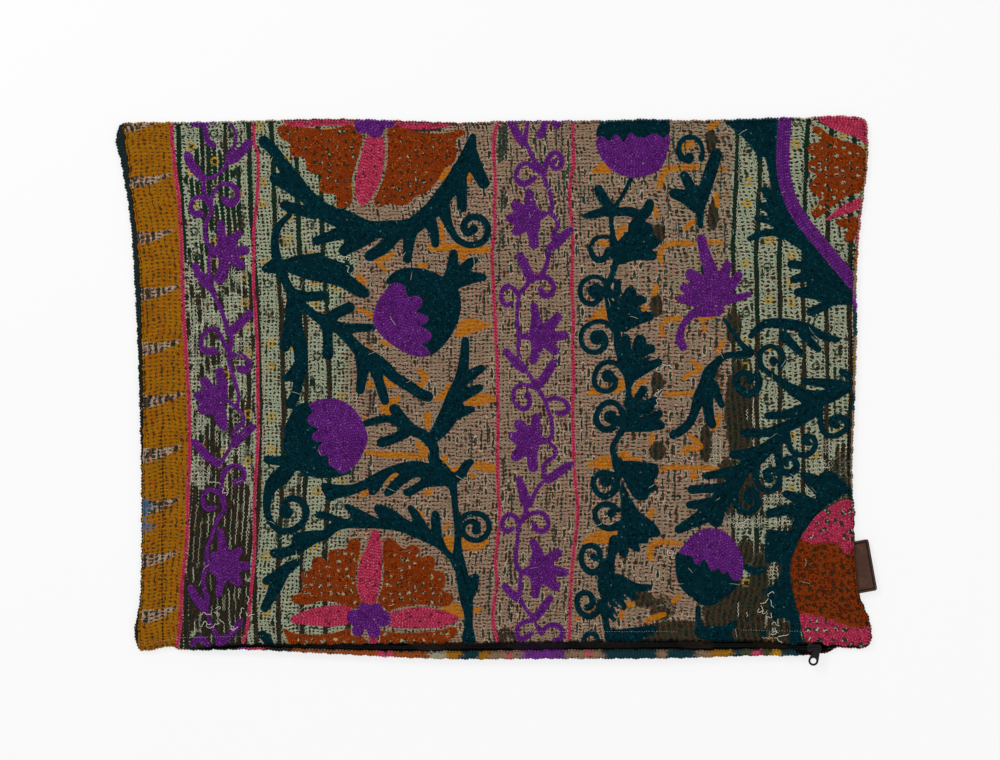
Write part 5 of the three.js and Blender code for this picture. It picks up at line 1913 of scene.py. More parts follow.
def along_rows(grid):
    """How far each place of a grid is along its row, in running stitches, with a slow drift by row."""
    apart = np.hypot(*np.moveaxis(np.diff(grid[..., :2], axis=1), 2, 0))
    run = np.cumsum(apart / dash_pitch(grid[:, 1:, 0]), axis=1)
    run = np.column_stack([np.zeros(len(grid)), run])
    rows = np.arange(len(grid))[:, None] / 2
    return run + 0.5 * np.sin(rows / 9.0) + 0.12 * np.sin(rows / 2.3)


def cloth_shell(edge, rings, face, coarse_face, up):
    """A closed cloth: a fine grid on one side, rings round its edge and a coarse grid on the other side.

    rings go from the fine grid's border to the coarse one's, each a (count, 3) array. face gives the fine
    grid's inner heights at x, y and row, and coarse_face the coarse grid's at x and y.
    """
    coarse = SHELL_STEP
    count = len(edge.place)
    grid = edge.inside(rings[0])
    row = np.broadcast_to(np.linspace(0, edge.rows / 2, edge.rows + 1)[:, None], grid.shape[:2])
    inner = grid[1:-1, 1:-1]
    heights = face(inner[..., 0], inner[..., 1], row[1:-1, 1:-1])
    inner = np.dstack([inner[..., :2], heights]).reshape(-1, 3)
    points = [np.vstack(rings), inner]
    fine_numbers = ring_numbers(edge.columns, edge.rows, 0, len(rings) * count)
    triangles = [grid_triangles(fine_numbers)]
    bands = close_rings(0, len(rings), count)
    triangles.append(bands[:, ::-1])
    few = Edge(edge.columns // coarse, edge.rows // coarse)
    last = rings[-1][::coarse]
    few_grid = few.inside(last)[1:-1, 1:-1]
    heights = coarse_face(few_grid[..., 0], few_grid[..., 1])
    few_inner = np.dstack([few_grid[..., :2], heights]).reshape(-1, 3)
    start = len(rings) * count + len(inner)
    points.append(few_inner)
    few_numbers = ring_numbers(few.columns, few.rows, 0, start)
    border = (len(rings) - 1) * count + np.arange(0, count, coarse)
    few_ring = len(few.place)
    few_numbers = np.where(few_numbers < few_ring, border[np.minimum(few_numbers, few_ring - 1)], few_numbers)
    triangles.append(grid_triangles(few_numbers)[:, ::-1])
    base = (len(rings) - 1) * count
    # thin triangles between the last ring's points and the coarse grid's straight border
    fans = []
    for start_at in range(0, count, coarse):
        for k in range(1, coarse):
            fans.append((base + start_at, base + start_at + k, base + (start_at + k + 1) % count))
    triangles.append(np.array(fans)[:, ::-1])
    triangles = np.vstack(triangles)
    if not up:
        triangles = triangles[:, ::-1]
    points = np.vstack(points)
    rows = np.zeros(len(points))
    columns = np.zeros(len(points))
    rows[few_numbers] = np.linspace(0, edge.rows / 2, few.rows + 1)[:, None]
    columns[few_numbers] = along_rows(few.inside(last))
    rows[fine_numbers] = row
    columns[fine_numbers] = along_rows(grid)
    for ring in range(1, len(rings)):
        rows[ring * count : (ring + 1) * count] = rows[:count]
        columns[ring * count : (ring + 1) * count] = columns[:count]
    rows += row_sway(points[:, 0], points[:, 1]) / ROW_GAP
    return points, triangles, {"row": rows, "column": columns}


OVER = CLOTH / 2 - PILE  # a cloth's outer face under its stitching, from the cloth's middle
UNDER = -CLOTH / 2
HALF_THIN = THIN / 2
ROUND_LIP = [  # how far back and how high each ring of a cloth's rounded edge is
    (HALF_THIN * 0.3, (OVER + UNDER) / 2 + HALF_THIN * 0.7),
    (0, (OVER + UNDER) / 2),
    (HALF_THIN * 0.3, (OVER + UNDER) / 2 - HALF_THIN * 0.7),
]
ZIP_LIP_Y = -225  # the lips below this lie along the zip


def front_rings():
    """From the flat of the front cloth round its lip to its underside."""
    steps = [(TURN, OVER), (HALF_THIN, OVER), *ROUND_LIP, (HALF_THIN, UNDER)]
    lip = FRONT_EDGE.reach + FRONT_EDGE.gap
    return [FRONT_EDGE.fold(lip + back, offset)[0] for back, offset in steps]


def ring_share(points, ring_size, first, last, below=math.inf):
    """1 for the points of these rings of a cloth that lie below a y, 0 for all others."""
    number = np.arange(len(points))
    chosen = (number >= first * ring_size) & (number < last * ring_size) & (points[:, 1] < below)
    return chosen.astype(float)


def ground_values(x, y):
    """The mesh values that the ground's material reads."""
    values = {name: read(DEPTHS[name], x, y) for name in ("purple", "rust", "teal")}
    values["pink"] = np.maximum(read(DEPTHS["pink"], x, y), read(DEPTHS["lines"], x, y))
    values["ochre"] = read(OCHRE_DEPTH, x, y)
    values["leaf"] = read(LEAF_DEPTH, x, y)
    for name, field in FIELDS.items():
        values[name] = read(field, x, y)
    for name in values:
        values[name] = np.clip(values[name], -8, 8)
    values["worn"] = worn_amount(x, y)
    values["mustard"] = mustard_amount(x, y)
    values["beige"] = beige_amount(x, y)
    values["stripe"] = stripe_coordinate(x, y)
    return values


def make_cloth(name, points, triangles, values):
    """A cloth's mesh with the printed ground on it."""
    piece = make_piece(name, points, triangles, GROUND, values)
    soften(piece)
    return piece


def make_front():
    """The front cloth, with its quilted side up and its lip turned in."""

    def face(x, y, row):
        return front_top(x, y) - PILE + quilt_height(x, y, row)

    def under(x, y):
        return front_top(x, y) - CLOTH

    rings = front_rings()
    points, triangles, quilt = cloth_shell(FRONT_EDGE, rings, face, under, True)
    values = ground_values(points[:, 0], points[:, 1]) | quilt
    # marks the front lip over the zip, where the ground's material paints shade
    values["lip"] = ring_share(points, len(FRONT_EDGE.place), 1, len(rings), ZIP_LIP_Y)
    piece = make_cloth("front_cloth", points, triangles, values)
    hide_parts("front_panel")
    return piece


def fill_all(depths, *how):
    """Starts and ends of the stitches that fill several shapes."""
    starts, ends = zip(*[fill(depth, *how) for depth in depths])
    return np.vstack(starts), np.vstack(ends)


def make_stitch_piece(name, depths, material, width=1.9, pale_share=0.0, length=STITCH):
    """The chain stitches of one colour, in rows that follow its shapes, darker at the lower right."""
    starts, ends = fill_all(depths, length)
    low, high = on_front(starts), on_front(ends)
    points, triangles, tone = chain_stitches(low, high, up_normals(len(low)), width)
    dusky = (starts[:, 0] > LOWER_RIGHT[0]) & (starts[:, 1] < LOWER_RIGHT[1])
    tone = tone - DUSK.get(name, 0.0) * np.tile(np.repeat(dusky, 5), 2)
    if pale_share:
        pale = random.random(len(low)) < pale_share
        tone[np.tile(np.repeat(pale, 5), 2)] = PALE_TONE
    return make_piece(name, points, triangles, material, {"tone": tone})


# How much darker a colour's stitches are at the lower right.
DUSK = {"rust_embroidery": 1.1, "pink_embroidery": 0.5}
GROUND = ground_material()
YARNS = {
    "purple": yarn("purple_yarn", *PURPLE, pale="b79cb8"),
    "teal": yarn("teal_yarn", *TEAL, pale="567a80"),
    "rust": yarn("rust_yarn", *RUST, pale="1f2d22"),
    "pink": yarn("pink_yarn", *PINK, pale="1f2d22"),
}

front = make_front()
STITCH_PIECES = [
    make_stitch_piece("purple_embroidery", [DEPTHS["purple"]], YARNS["purple"], pale_share=0.003),
    make_stitch_piece("teal_embroidery", [DEPTHS["teal"]], YARNS["teal"], pale_share=0.005),
    make_stitch_piece(
        "rust_embroidery", [DEPTHS["rust"]], YARNS["rust"], width=2.0, pale_share=0.02, length=2.2
    ),
    make_stitch_piece("pink_embroidery", [DEPTHS["pink"], DEPTHS["lines"]], YARNS["pink"], pale_share=0.02),
]


# ---------------------------------------------------------------- running stitches and loose threads

DASH_HEIGHT = 0.45
SLIT_HEIGHT = 0.35
LIFT = PILE - 0.3  # how far below the stitching's top threads and slits lie
SINK = 0.3  # how far the lower corners of a single stitch lie in the cloth
SLIT_DYES = ("15332a", "1b3a2e", "14241c", "25261b", "2e2a20", "1a1a13")
SLITS_GREEN_FROM = 60  # slits above this y are greener
DASH_DYES = ("141d16", "1f241a", "2c2a20", "4f5a45", "7c2f1c")
BEIGE_DASH_DYES = ("20281f", "343628", "4a4231", "6a5a46", "8e3a24")
DASH_SHARES = (0.42, 0.3, 0.15, 0.08, 0.05)
SPECK_DYES = ("a3321c", "b03c28", "86281a")
THREAD_DYES = ("bdbba2", "cbc9b0", "a5a48b", "d6d4bc", "dad6c2")


def mixed_thread():
    """Thread that takes each stitch's colour from the mesh."""
    surface = Surface("mixed_thread", "808080", roughness=0.95, sheen=0.08, specular=0.15)
    node = surface.tree.nodes.new("ShaderNodeAttribute")
    node.attribute_name = "dye"
    surface.paint = node.outputs["Color"]
    fibre = surface.noise(0.5, detail=1)
    surface.shade(fibre * 0.6 + 0.7)
    surface.bump(fibre, 0.5, 0.0003)
    return surface.done()


MIXED = mixed_thread()


def dyed(codes, picks):
    """Colours of these codes, one for each pick."""
    return np.array([colour(code) for code in codes])[picks]


def single_stitches(starts, ends, half_width, height):
    """Separate stitches of one strand, each a little uneven."""
    count = len(starts)
    bow = random.uniform(-0.15, 0.15, count)
    halves = half_width * random.uniform(0.8, 1.15, count)
    heights = height * random.uniform(0.8, 1.1, count)
    return strands(starts, ends, up_normals(count), bow, halves, heights, SINK)


def slit_stitches():
    """The middles, half widths and lengths of the dark gaps that make up the long slits, one to each row."""
    middles = []
    halves = []
    for top_x, top, bottom_x, bottom, width in SLITS:
        count = max(2, round((top - bottom) / ROW_GAP))
        share = (np.arange(count) + 0.5) / count
        x = top_x + (bottom_x - top_x) * share + random.normal(0, 0.35, count)
        middles.append(np.column_stack([x, top + (bottom - top) * share]))
        halves.append(width / 2 * random.uniform(0.9, 1.45, count))
    return np.vstack(middles), np.concatenate(halves)


def make_slits():
    """Long dark slits down the beige middle, between the rows of running stitch."""
    middle, half = slit_stitches()
    kept = is_bare(middle, 0.6, 3)
    middle, half = middle[kept], half[kept]
    count = len(middle)
    lead = np.array([0.0, 1.0]) * random.uniform(1.7, 2.3, count)[:, None]
    picks = random.integers(0, 3, count) + 3 * (middle[:, 1] < SLITS_GREEN_FROM)
    starts, ends = on_front(middle - lead, LIFT), on_front(middle + lead, LIFT)
    bow = random.uniform(-0.2, 0.2, count)
    points, triangles = strands(starts, ends, up_normals(count), bow, half, np.full(count, SLIT_HEIGHT), SINK)
    dye = np.repeat(dyed(SLIT_DYES, picks), 5, axis=0)
    return make_piece("dark_slits", points, triangles, MIXED, {"dye": dye})


def dash_places():
    """The middles and directions of the running stitches, row by row."""
    grid = FRONT_EDGE.inside(front_rings()[0])
    every_row = slice(2, -2, 2)
    middles = []
    leads = []
    for line, column in zip(grid[every_row, :, :2], along_rows(grid)[every_row]):
        place = np.arange(math.ceil(column[0]) + 0.5, column[-1] - 0.5)
        place = place + random.normal(0, 0.07, len(place))
        middle = np.column_stack([np.interp(place, column, line[:, k]) for k in (0, 1)])
        ahead = np.column_stack([np.interp(place + 0.1, column, line[:, k]) for k in (0, 1)]) - middle
        middles.append(middle)
        leads.append(ahead / np.linalg.norm(ahead, axis=1)[:, None])
    middle = np.vstack(middles)
    middle[:, 1] += row_sway(*middle.T) + random.normal(0, 0.18, len(middle))
    return middle, np.vstack(leads)


def make_running_stitches():
    """Rows of small dark stitches across the quilt, with red specks between them."""
    middle, lead = dash_places()
    count = len(middle)
    beige = beige_amount(*middle.T) > 0.5
    mustard = mustard_amount(*middle.T) > 0.5
    length = random.uniform(0.8, 2.2, count) + random.uniform(0, 1.2, count) * beige
    length = np.where(mustard, random.uniform(0.6, 1.3, count), length)
    half = np.where(beige, 0.36, 0.55) * random.uniform(0.8, 1.3, count)
    kept = is_bare(middle, 0.7, 2) & (random.random(count) < 0.86)
    kept &= (read(OCHRE_DEPTH, *middle.T) < -0.5) | (random.random(count) < 0.3)
    middle, lead, beige, length, half = (values[kept] for values in (middle, lead, beige, length, half))

    count = len(middle)
    turn = random.normal(0, 0.12, count)
    lead = lead + np.column_stack([-lead[:, 1], lead[:, 0]]) * turn[:, None]
    starts = middle - lead * length[:, None] / 2
    ends = middle + lead * length[:, None] / 2
    picks = random.choice(len(DASH_DYES), count, p=DASH_SHARES)
    picks[beige] += len(DASH_DYES)
    dye = dyed(DASH_DYES + BEIGE_DASH_DYES, picks)
    below = PILE + PUCKER * 0.25
    bow = random.uniform(-0.15, 0.15, count)
    starts, ends = on_front(starts, below), on_front(ends, below)
    points, triangles = strands(starts, ends, up_normals(count), bow, half, np.full(count, DASH_HEIGHT), SINK)

    chosen = random.random(count) < 0.1 + 0.22 * beige
    ahead = lead[chosen] * dash_pitch(middle[chosen, 0])[:, None] / 2
    speck = middle[chosen] + ahead + random.normal(0, 0.3, (chosen.sum(), 2))
    speck = speck[is_bare(speck, 0.8, 2)]
    more, more_triangles = single_stitches(on_front(speck), on_front(speck + [0.8, 0.1]), 0.36, 0.5)
    red = dyed(SPECK_DYES, random.integers(0, len(SPECK_DYES), len(speck)))
    points = np.concatenate([points, more])
    triangles = np.concatenate([triangles, more_triangles + 5 * count])
    shades = np.repeat(np.concatenate([dye, red]), 5, axis=0)
    return make_piece("running_stitches", points, triangles, MIXED, {"dye": shades})


def tubes(paths, radius):
    """Thin three-sided closed tubes along paths in the round, and the number of each point's path."""
    points = []
    triangles = []
    owners = []
    start = 0
    turn = np.array([math.pi / 2, math.pi * 7 / 6, math.pi * 11 / 6])
    for number, path in enumerate(paths):
        run = np.gradient(path, axis=0)
        side = np.column_stack([-run[:, 1], run[:, 0], np.zeros(len(path))])
        side /= np.maximum(np.linalg.norm(side, axis=1), 1e-6)[:, None]
        thick = np.full(len(path), radius)
        thick[[0, -1]] *= 0.4
        ring = (
            path[:, None]
            + side[:, None] * (thick[:, None] * np.cos(turn))[..., None]
            + np.array([0, 0, 1.0]) * (thick[:, None] * np.sin(turn))[..., None]
        )
        points.append(ring.reshape(-1, 3))
        count = len(path)
        here = start + 3 * np.arange(count - 1)
        for k in range(3):
            a, b = here + k, here + (k + 1) % 3
            triangles.append(np.column_stack([a, a + 3, b + 3]))
            triangles.append(np.column_stack([a, b + 3, b]))
        last = start + 3 * (count - 1)
        triangles.append(np.array([(start, start + 1, start + 2), (last, last + 2, last + 1)]))
        owners.append(np.full(3 * count, number))
        start += 3 * count
    return np.vstack(points), np.vstack(triangles), np.concatenate(owners)


def wandering_line(x, y, length, step_length=ROW_GAP / 2):
    """A crinkled line that wanders as it runs down the cloth."""
    count = max(4, int(length / step_length))
    sway = np.cumsum(random.normal(0, 0.12, count))
    sway -= np.linspace(0, sway[-1], count) * 0.8
    down = np.arange(count) * step_length
    zigzag = 0.75 * (-1) ** np.arange(count) * random.uniform(0.1, 1.4, count)
    return np.column_stack([x + sway + zigzag, y - down])


THREADS_TOP = 247.0  # y between which pale threads run down the cloth
THREADS_END = -225
STRIP_X = -287  # left side of the first strip of flowers
# Where pale threads show along the stripes: from x to x, and how far from a stripe's middle.
WARP_BANDS = [(STRIP_X, -226, (-8.1, -2.7, 2.7, 8.1)), (-222, -130, (-2.9, 2.9)), (215, 333, (-2.9, 2.9))]


def pale_warp():
    """Crinkled pale threads down the edges of the dark bands, broken here and there."""
    paths = []
    for left, right, besides in WARP_BANDS:
        on_left = left < STRIPES_PART_X
        in_strip = left == STRIP_X
        for number, beside in itertools.product(range(-12, 14), besides):
            y = THREADS_TOP
            while y > THREADS_END:
                middle = float(stripe_middle(number, y, on_left)) + beside
                length = random.uniform(8, 60)
                worn = worn_amount(np.array([middle]), np.array([y - length / 2]))[0]
                strip_share = 0.8 * (y < 140 or abs(beside) < 5)
                share = strip_share if in_strip else 0.7 * (worn < 0.6)
                if left < middle < right and random.random() < share:
                    line = wandering_line(middle + random.normal(0, 0.25), y, length)
                    drift = stripe_middle(number, line[:, 1], on_left) - stripe_middle(number, y, on_left)
                    line[:, 0] += drift
                    paths.append(line)
                y -= length + random.uniform(1, 12)
    return paths


NET_GAP = 3.2  # between a net's threads down the cloth


def bare_nets():
    """Crossing threads, crinkled and broken, where the print between them has worn away."""
    paths = []
    for x, y, half_x, half_y in NETS:
        for across in np.arange(-half_x, half_x, NET_GAP):
            reach = half_y * math.sqrt(1 - (across / half_x) ** 2) * random.uniform(0.8, 1.15)
            if reach > ROW_GAP:
                paths.append(wandering_line(x + across, y + reach, 2 * reach))
        for up in np.arange(-half_y, half_y, ROW_GAP):
            reach = half_x * math.sqrt(1 - (up / half_y) ** 2) * random.uniform(0.8, 1.15)
            if reach > ROW_GAP:
                line = wandering_line(0, 0, 2 * reach)
                paths.append(np.column_stack([x - reach - line[:, 1], y + up + line[:, 0]]))
    return paths


# Where a few threads have worked loose into small tangles: x, y.
KNOTS = [
    (255, -195), (253, -207), (257, -221), (259, -232), (266, -238), (-268, -221), (-262, -206), (-250, -218),
    (-233, -203), (152, -8), (154, 25), (-255, -90), (228, -128), (160, -150), (-140, 120),
]


def scattered_threads():
    """Short threads, most of them where the print has worn."""
    paths = []
    for _ in range(1500):
        x, y = random.uniform(-284, 333), random.uniform(-225, 248)
        at = np.array([x]), np.array([y])
        if random.random() < (worn_amount(*at)[0] * 0.3 + 0.05) * (1 - 0.8 * beige_amount(*at)[0]):
            paths.append(wandering_line(x, y, random.uniform(5, 22)))
    return paths


def bare_parts(paths):
    """The longer parts of paths that embroidery doesn't cover."""
    parts = []
    for path in paths:
        clear = is_bare(path, 0.9, 2.5)
        runs = np.split(np.arange(len(path)), np.flatnonzero(np.diff(clear.astype(int))) + 1)
        parts += [path[run] for run in runs if clear[run[0]] and len(run) >= 4]
    return parts


def winding(heading, bends, pace):
    """A path that sets off this way and turns by each bend in turn, from 0, 0."""
    turns = heading + np.cumsum(bends)
    return np.cumsum(np.column_stack([np.cos(turns), np.sin(turns)]) * pace, axis=0)


def tangles():
    """Threads that wind about each knot."""
    paths = []
    for x, y in KNOTS:
        for _ in range(3):
            heading = random.uniform(0, 2 * math.pi)
            walk = winding(heading, random.normal(0, 0.75, random.integers(7, 13)), 1.3)
            walk += [x, y] + random.uniform(-2.5, 2.5, 2)
            if inward(LIP, *walk.T).min() > 1.5:
                paths.append(walk)
    return paths


def stray_ends():
    """Single short curls of thread."""
    paths = []
    for _ in range(90):
        x, y = random.uniform(-285, 320), random.uniform(-225, 240)
        heading = random.uniform(0, 2 * math.pi)
        curl = winding(heading, random.normal(0, 0.14, random.integers(4, 8)), 1.7) + [x, y]
        if inward(LIP, *curl.T).min() > 3:
            paths.append(curl)
    return paths


THREAD_RADIUS = 0.38
STRAY_RADIUS = 0.2


def make_loose_threads():
    """Pale warp threads that show along the stripes and where the print has worn, tangles and stray ends."""
    flat = bare_parts(pale_warp() + bare_nets() + scattered_threads())
    tangled = tangles()
    stray = stray_ends()
    low = [on_front(path, LIFT) for path in flat]
    high = [on_front(path, -0.05) for path in tangled]
    points, triangles, owners = tubes(low + high, THREAD_RADIUS)
    more, more_triangles, more_owners = tubes([on_front(path, -0.05) for path in stray], STRAY_RADIUS)
    triangles = np.vstack([triangles, more_triangles + len(points)])
    owners = np.concatenate([owners, more_owners + len(low + high)])
    points = np.vstack([points, more])
    picks = random.integers(0, 4, len(flat + tangled + stray))
    picks[len(flat) : len(flat + tangled)] = 4
    dye = dyed(THREAD_DYES, picks)[owners]
    return make_piece("loose_threads", points, triangles, MIXED, {"dye": dye})


# Lines of small white stitches that hold the zip. Each row runs from x, y to x, y.
TOP_STITCHES = [
    ((-335, -237.5), (-295, -230.6)), ((-295, -230.6), (-215, -229)), ((-10, -225), (170, -225)),
    ((228, -223.5), (290, -225)),
]
TOP_PITCH = 2.3


def make_top_stitches():
    """The white stitches beside the zip."""
    middles = []
    for start, end in TOP_STITCHES:
        start, end = np.array(start), np.array(end)
        count = int(np.linalg.norm(end - start) / TOP_PITCH)
        middles.append(start + (end - start) * (np.arange(count) / count)[:, None])
    middle = np.vstack(middles) + random.normal(0, 0.12, (sum(map(len, middles)), 2))
    lead = np.array([0.55, 0.0])
    starts, ends = on_front(middle - lead, 0.25), on_front(middle + lead, 0.25)
    points, triangles = single_stitches(starts, ends, 0.26, 0.4)
    dye = np.tile(np.array(colour("c9c8bc")), (5 * len(middle), 1))
    return make_piece("top_stitches", points, triangles, MIXED, {"dye": dye})


running = make_running_stitches()
top_stitches = make_top_stitches()
threads = make_loose_threads()
slits = make_slits()


# ---------------------------------------------------------------- back cloth

BACK_EDGE = Edge(180, 126)
BACK_LEAD = 2.0  # flat lead before the roll begins
BACK_STITCH = 3.6
BACK_PITCH = 2.3
BACK_ROOM = 1.6
BACK_WIDTH = 2.4
BACK_MARGIN = 5.2  # the flat embroidery ends this far inside the fold
ROLL_RINGS = 10
INSIDE_RINGS = 7


def back_start(edge):
    """How far under the fold, as a reach below 0, the roll's rings begin."""
    return -math.pi / 4 * (edge.height - CLOTH) - BACK_LEAD


def back_rings():
    """From the flat underside round the fold, over its top, round the lip and back along the inside."""
    start = back_start(BACK_EDGE)
    end = BACK_EDGE.reach - BACK_EDGE.gap
    last = end - HALF_THIN
    steps = [(start + (last - start) * share, OVER) for share in np.linspace(0, 1, ROLL_RINGS)]
    steps += [(end - back, offset) for back, offset in ROUND_LIP]
    steps += [(last + (start - last) * share, UNDER) for share in np.linspace(0, 1, INSIDE_RINGS)]
    return [BACK_EDGE.fold(reach, offset)[0] for reach, offset in steps]


# Colours of the stitching on the rolled edge. Columns: where a colour starts (x along the bottom and top,
# y up the sides), its code.
DARK, ORANGE, VIOLET, ROSE, PETROL = "25271d", "a3521c", "7a2d90", "d04468", "063a44"
OCHRE, SAND, OLIVE, YELLOW, PALE = "a8720c", "93775c", "474c2e", "b8860f", "aaa68a"
BLACK, FOREST = "161c17", "152628"
BOTTOM_DYES = [
    (-360, BLACK), (-335, OCHRE), (-300, ORANGE), (-291, DARK), (-240, VIOLET), (-231, ROSE), (-214, DARK),
    (-190, ORANGE), (-110, ROSE), (-97, ORANGE), (-62, PALE), (-48, OCHRE), (-34, PETROL), (-16, OCHRE),
    (-5, SAND), (11, ROSE), (15, SAND), (25, VIOLET), (65, SAND), (85, ROSE), (89, SAND), (100, PETROL),
    (150, SAND), (158, PETROL), (187, SAND), (200, OCHRE), (220, PETROL), (228, OLIVE), (240, ROSE),
    (247, OLIVE), (258, YELLOW), (266, PETROL), (292, ROSE),
]
RIGHT_DYES = [
    (-250, ROSE), (-212, ORANGE), (-150, ROSE), (-112, PETROL), (-91, SAND), (-46, SAND), (-19, PETROL),
    (-3, SAND), (26, OCHRE), (31, SAND), (50, PETROL), (75, VIOLET), (89, SAND), (118, ORANGE), (134, ROSE),
    (165, ORANGE), (232, ROSE),
]
LEFT_DYES = [(-250, BLACK), (60, FOREST)]
TOP_DYES = [
    (-360, FOREST), (-345, OCHRE), (-303, PALE), (-288, VIOLET), (-262, PALE), (-205, ORANGE), (-130, VIOLET),
    (-98, ORANGE), (-28, PETROL), (-18, SAND), (8, VIOLET), (70, SAND), (95, PETROL), (160, SAND),
    (213, PETROL), (262, VIOLET), (276, PALE), (294, ROSE),
]
DYE_SPREAD = 1.6  # how raggedly one colour goes over into the next
EDGE_PITCH = 1.8
EDGE_WIDTH = 1.8
EDGE_ROWS = 12  # at most
EDGE_INSET = 0.75  # from the cloth's end to its first row


def edge_dye(x, y):
    """The stitching's colour code at places near the cover's edge."""
    away = inward(FOLD, x, y)
    side = np.argmin(away, axis=0)
    codes = np.empty(len(x), dtype="<U6")
    sides = (TOP_DYES, x), (RIGHT_DYES, y), (BOTTOM_DYES, x), (LEFT_DYES, y)
    for number, (table, along) in enumerate(sides):
        starts = np.array([start for start, _ in table])
        names = np.array([code for _, code in table])
        ragged = along + random.normal(0, DYE_SPREAD, len(x))
        place = np.clip(np.searchsorted(starts, ragged) - 1, 0, len(names) - 1)
        codes[side == number] = names[place][side == number]
    return codes


def make_back():
    """The back cloth, with its stitched side down, its edge rolled up and its plain side inside."""

    def face(x, y, row):
        wave = 0.5 - 0.5 * np.cos(2 * math.pi * row)
        return PILE - 0.35 * wave * step(4, 14, inward(FOLD, x, y).min(axis=0))

    def inside(x, y):
        return np.full(x.shape, CLOTH)

    rings = back_rings()
    size = len(BACK_EDGE.place)
    points, triangles, quilt = cloth_shell(BACK_EDGE, rings, face, inside, False)
    quilt["row"] = quilt["row"] * 2
    values = ground_values(points[:, 0], points[:, 1]) | quilt
    values["edge"] = ring_share(points, size, 2, len(rings))
    # marks the back lip over the zip, where the ground's material paints shade
    values["lip"] = ring_share(points, size, ROLL_RINGS - 1, len(rings), ZIP_LIP_Y)
    values["edge_dye"] = np.array([colour(code) for code in edge_dye(points[:, 0], points[:, 1])])
    piece = make_cloth("back_cloth", points, triangles, values)
    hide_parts("back_panel")
    return piece


def make_back_stitches(name, colours, material):
    """The broader chain stitches of one colour on the back cloth's underside."""
    depths = [ended(WHOLE[label], FOLD, BACK_MARGIN) for label in colours]
    flat = fill_all(depths, BACK_STITCH, BACK_PITCH, BACK_ROOM)
    starts, ends = (np.column_stack([places, np.full(len(places), PILE)]) for places in flat)
    down = up_normals(len(starts), -1.0)
    points, triangles, tone = chain_stitches(starts, ends, down, BACK_WIDTH, PILE - 0.1)
    return make_piece(name, points, triangles, material, {"tone": tone})


def make_edge_stitches():
    """Rows of chain stitch along the back cloth where it rolls up round the edge."""
    start, end = back_start(COARSE), COARSE.reach - COARSE.gap
    lows = []
    highs = []
    ups = []
    for row in range(EDGE_ROWS):
        reach = end - EDGE_INSET - EDGE_PITCH * row
        inside = reach > start + 0.4
        if not inside.any():
            break
        here, normal = COARSE.fold(reach, OVER)
        both = inside & np.roll(inside, -1)
        lows.append(here[both])
        highs.append(np.roll(here, -1, axis=0)[both])
        ups.append(normal[both])
    lows, highs, ups = np.vstack(lows), np.vstack(highs), np.vstack(ups)
    points, triangles, _ = chain_stitches(lows, highs, ups, EDGE_WIDTH, PILE * 0.92)
    codes = edge_dye(lows[:, 0], lows[:, 1])
    dark_side = (codes == BLACK) | (codes == FOREST)
    fleck = random.random(len(codes))
    codes[dark_side & (fleck < 0.012)] = OCHRE
    codes[~dark_side & (fleck < 0.09)] = DARK
    dye = np.array([colour(code) for code in codes])
    dye[:, :3] *= random.uniform(0.8, 1.2, (len(codes), 1))
    dye = np.tile(np.repeat(dye, 5, axis=0), (2, 1))
    return make_piece("edge_stitches", points, triangles, MIXED, {"dye": dye})


BACK_COLOURS = {"purple": ["purple"], "teal": ["teal"], "rust": ["rust"], "pink": ["pink", "lines"]}

back = make_back()
BACK_PIECES = [
    make_back_stitches(f"back_{name}_embroidery", colours, YARNS[name])
    for name, colours in BACK_COLOURS.items()
]
BACK_PIECES.append(make_edge_stitches())


# ---------------------------------------------------------------- zip, slider and label

# The middle of the zip's chain: x, y.
ZIP_LINE = [
    (-284, -236), (-230, -236), (-155, -238.9), (-90, -239.8), (59, -238.5), (164, -237.8), (240, -238.1),
    (262, -238.9), (277, -240.3), (304, -240.3),
]
CHAIN_FROM = -270
CHAIN_TO = 301
CHAIN_BOTTOM = 2.8
COIL_PITCH = 1.5
COIL_WIRE = 0.34
COIL_TURN = 6  # points in one turn
COIL_APART = 1.05  # how far each coil's middle lies from the chain's
COIL_HALF_WIDTH = 1.2
COIL_HALF_HEIGHT = 0.5
COIL_RISE = 0.9  # of the coils' middle above the chain's bottom


def black_plastic():
    """Black plastic wire with dull patches."""
    surface = Surface("zip_coil", "0b0b0c", roughness=0.5, specular=0.25)
    surface.over("151517", surface.noise(6, detail=2).rise(0.4, 0.7))
    return surface.done()


def tape_material():
    """Black herringbone tape."""
    surface = Surface("zip_tape", "070708", roughness=0.95, specular=0.04)
    weave = ((surface.x * 3.4 + (surface.y * 1.3).made("PINGPONG", 1.0) * 2.4).wave() * 0.5 + 0.5)
    surface.over("111113", weave * surface.noise(3, detail=2).rise(0.25, 0.7))
    surface.bump(weave, 0.6, 0.0004)
    return surface.done()


def metal_material():
    """Black enamelled metal, rubbed paler in patches."""
    surface = Surface("black_metal", "0e0e10", roughness=0.34, metallic=0.75, specular=0.5)
    surface.over("2c2b2a", surface.noise(1.6, detail=3).rise(0.55, 0.8))
    scratches = surface.noise(0.7, detail=2, stretch=(1, 4, 1))
    surface.rough(scratches * 0.25 + 0.26)
    surface.bump(scratches, 0.15, 0.0001)
    return surface.done()


def leather_material():
    """Brown leather with a fine grain, darker and smoother along its rim."""
    surface = Surface("brown_leather", "472f25", roughness=0.7, specular=0.12)
    grain = surface.noise(1.1, detail=3)
    blotch = surface.noise(9, detail=2)
    surface.over("553b2f", blotch.rise(0.4, 0.7))
    surface.over("2f1f18", grain.rise(0.5, 0.7) * 0.7)
    surface.over("120b08", surface.value("rim"))
    surface.rough(grain * 0.3 + surface.value("rim") * -0.1 + 0.52)
    surface.bump(grain, 0.5, 0.0004)
    return surface.done()


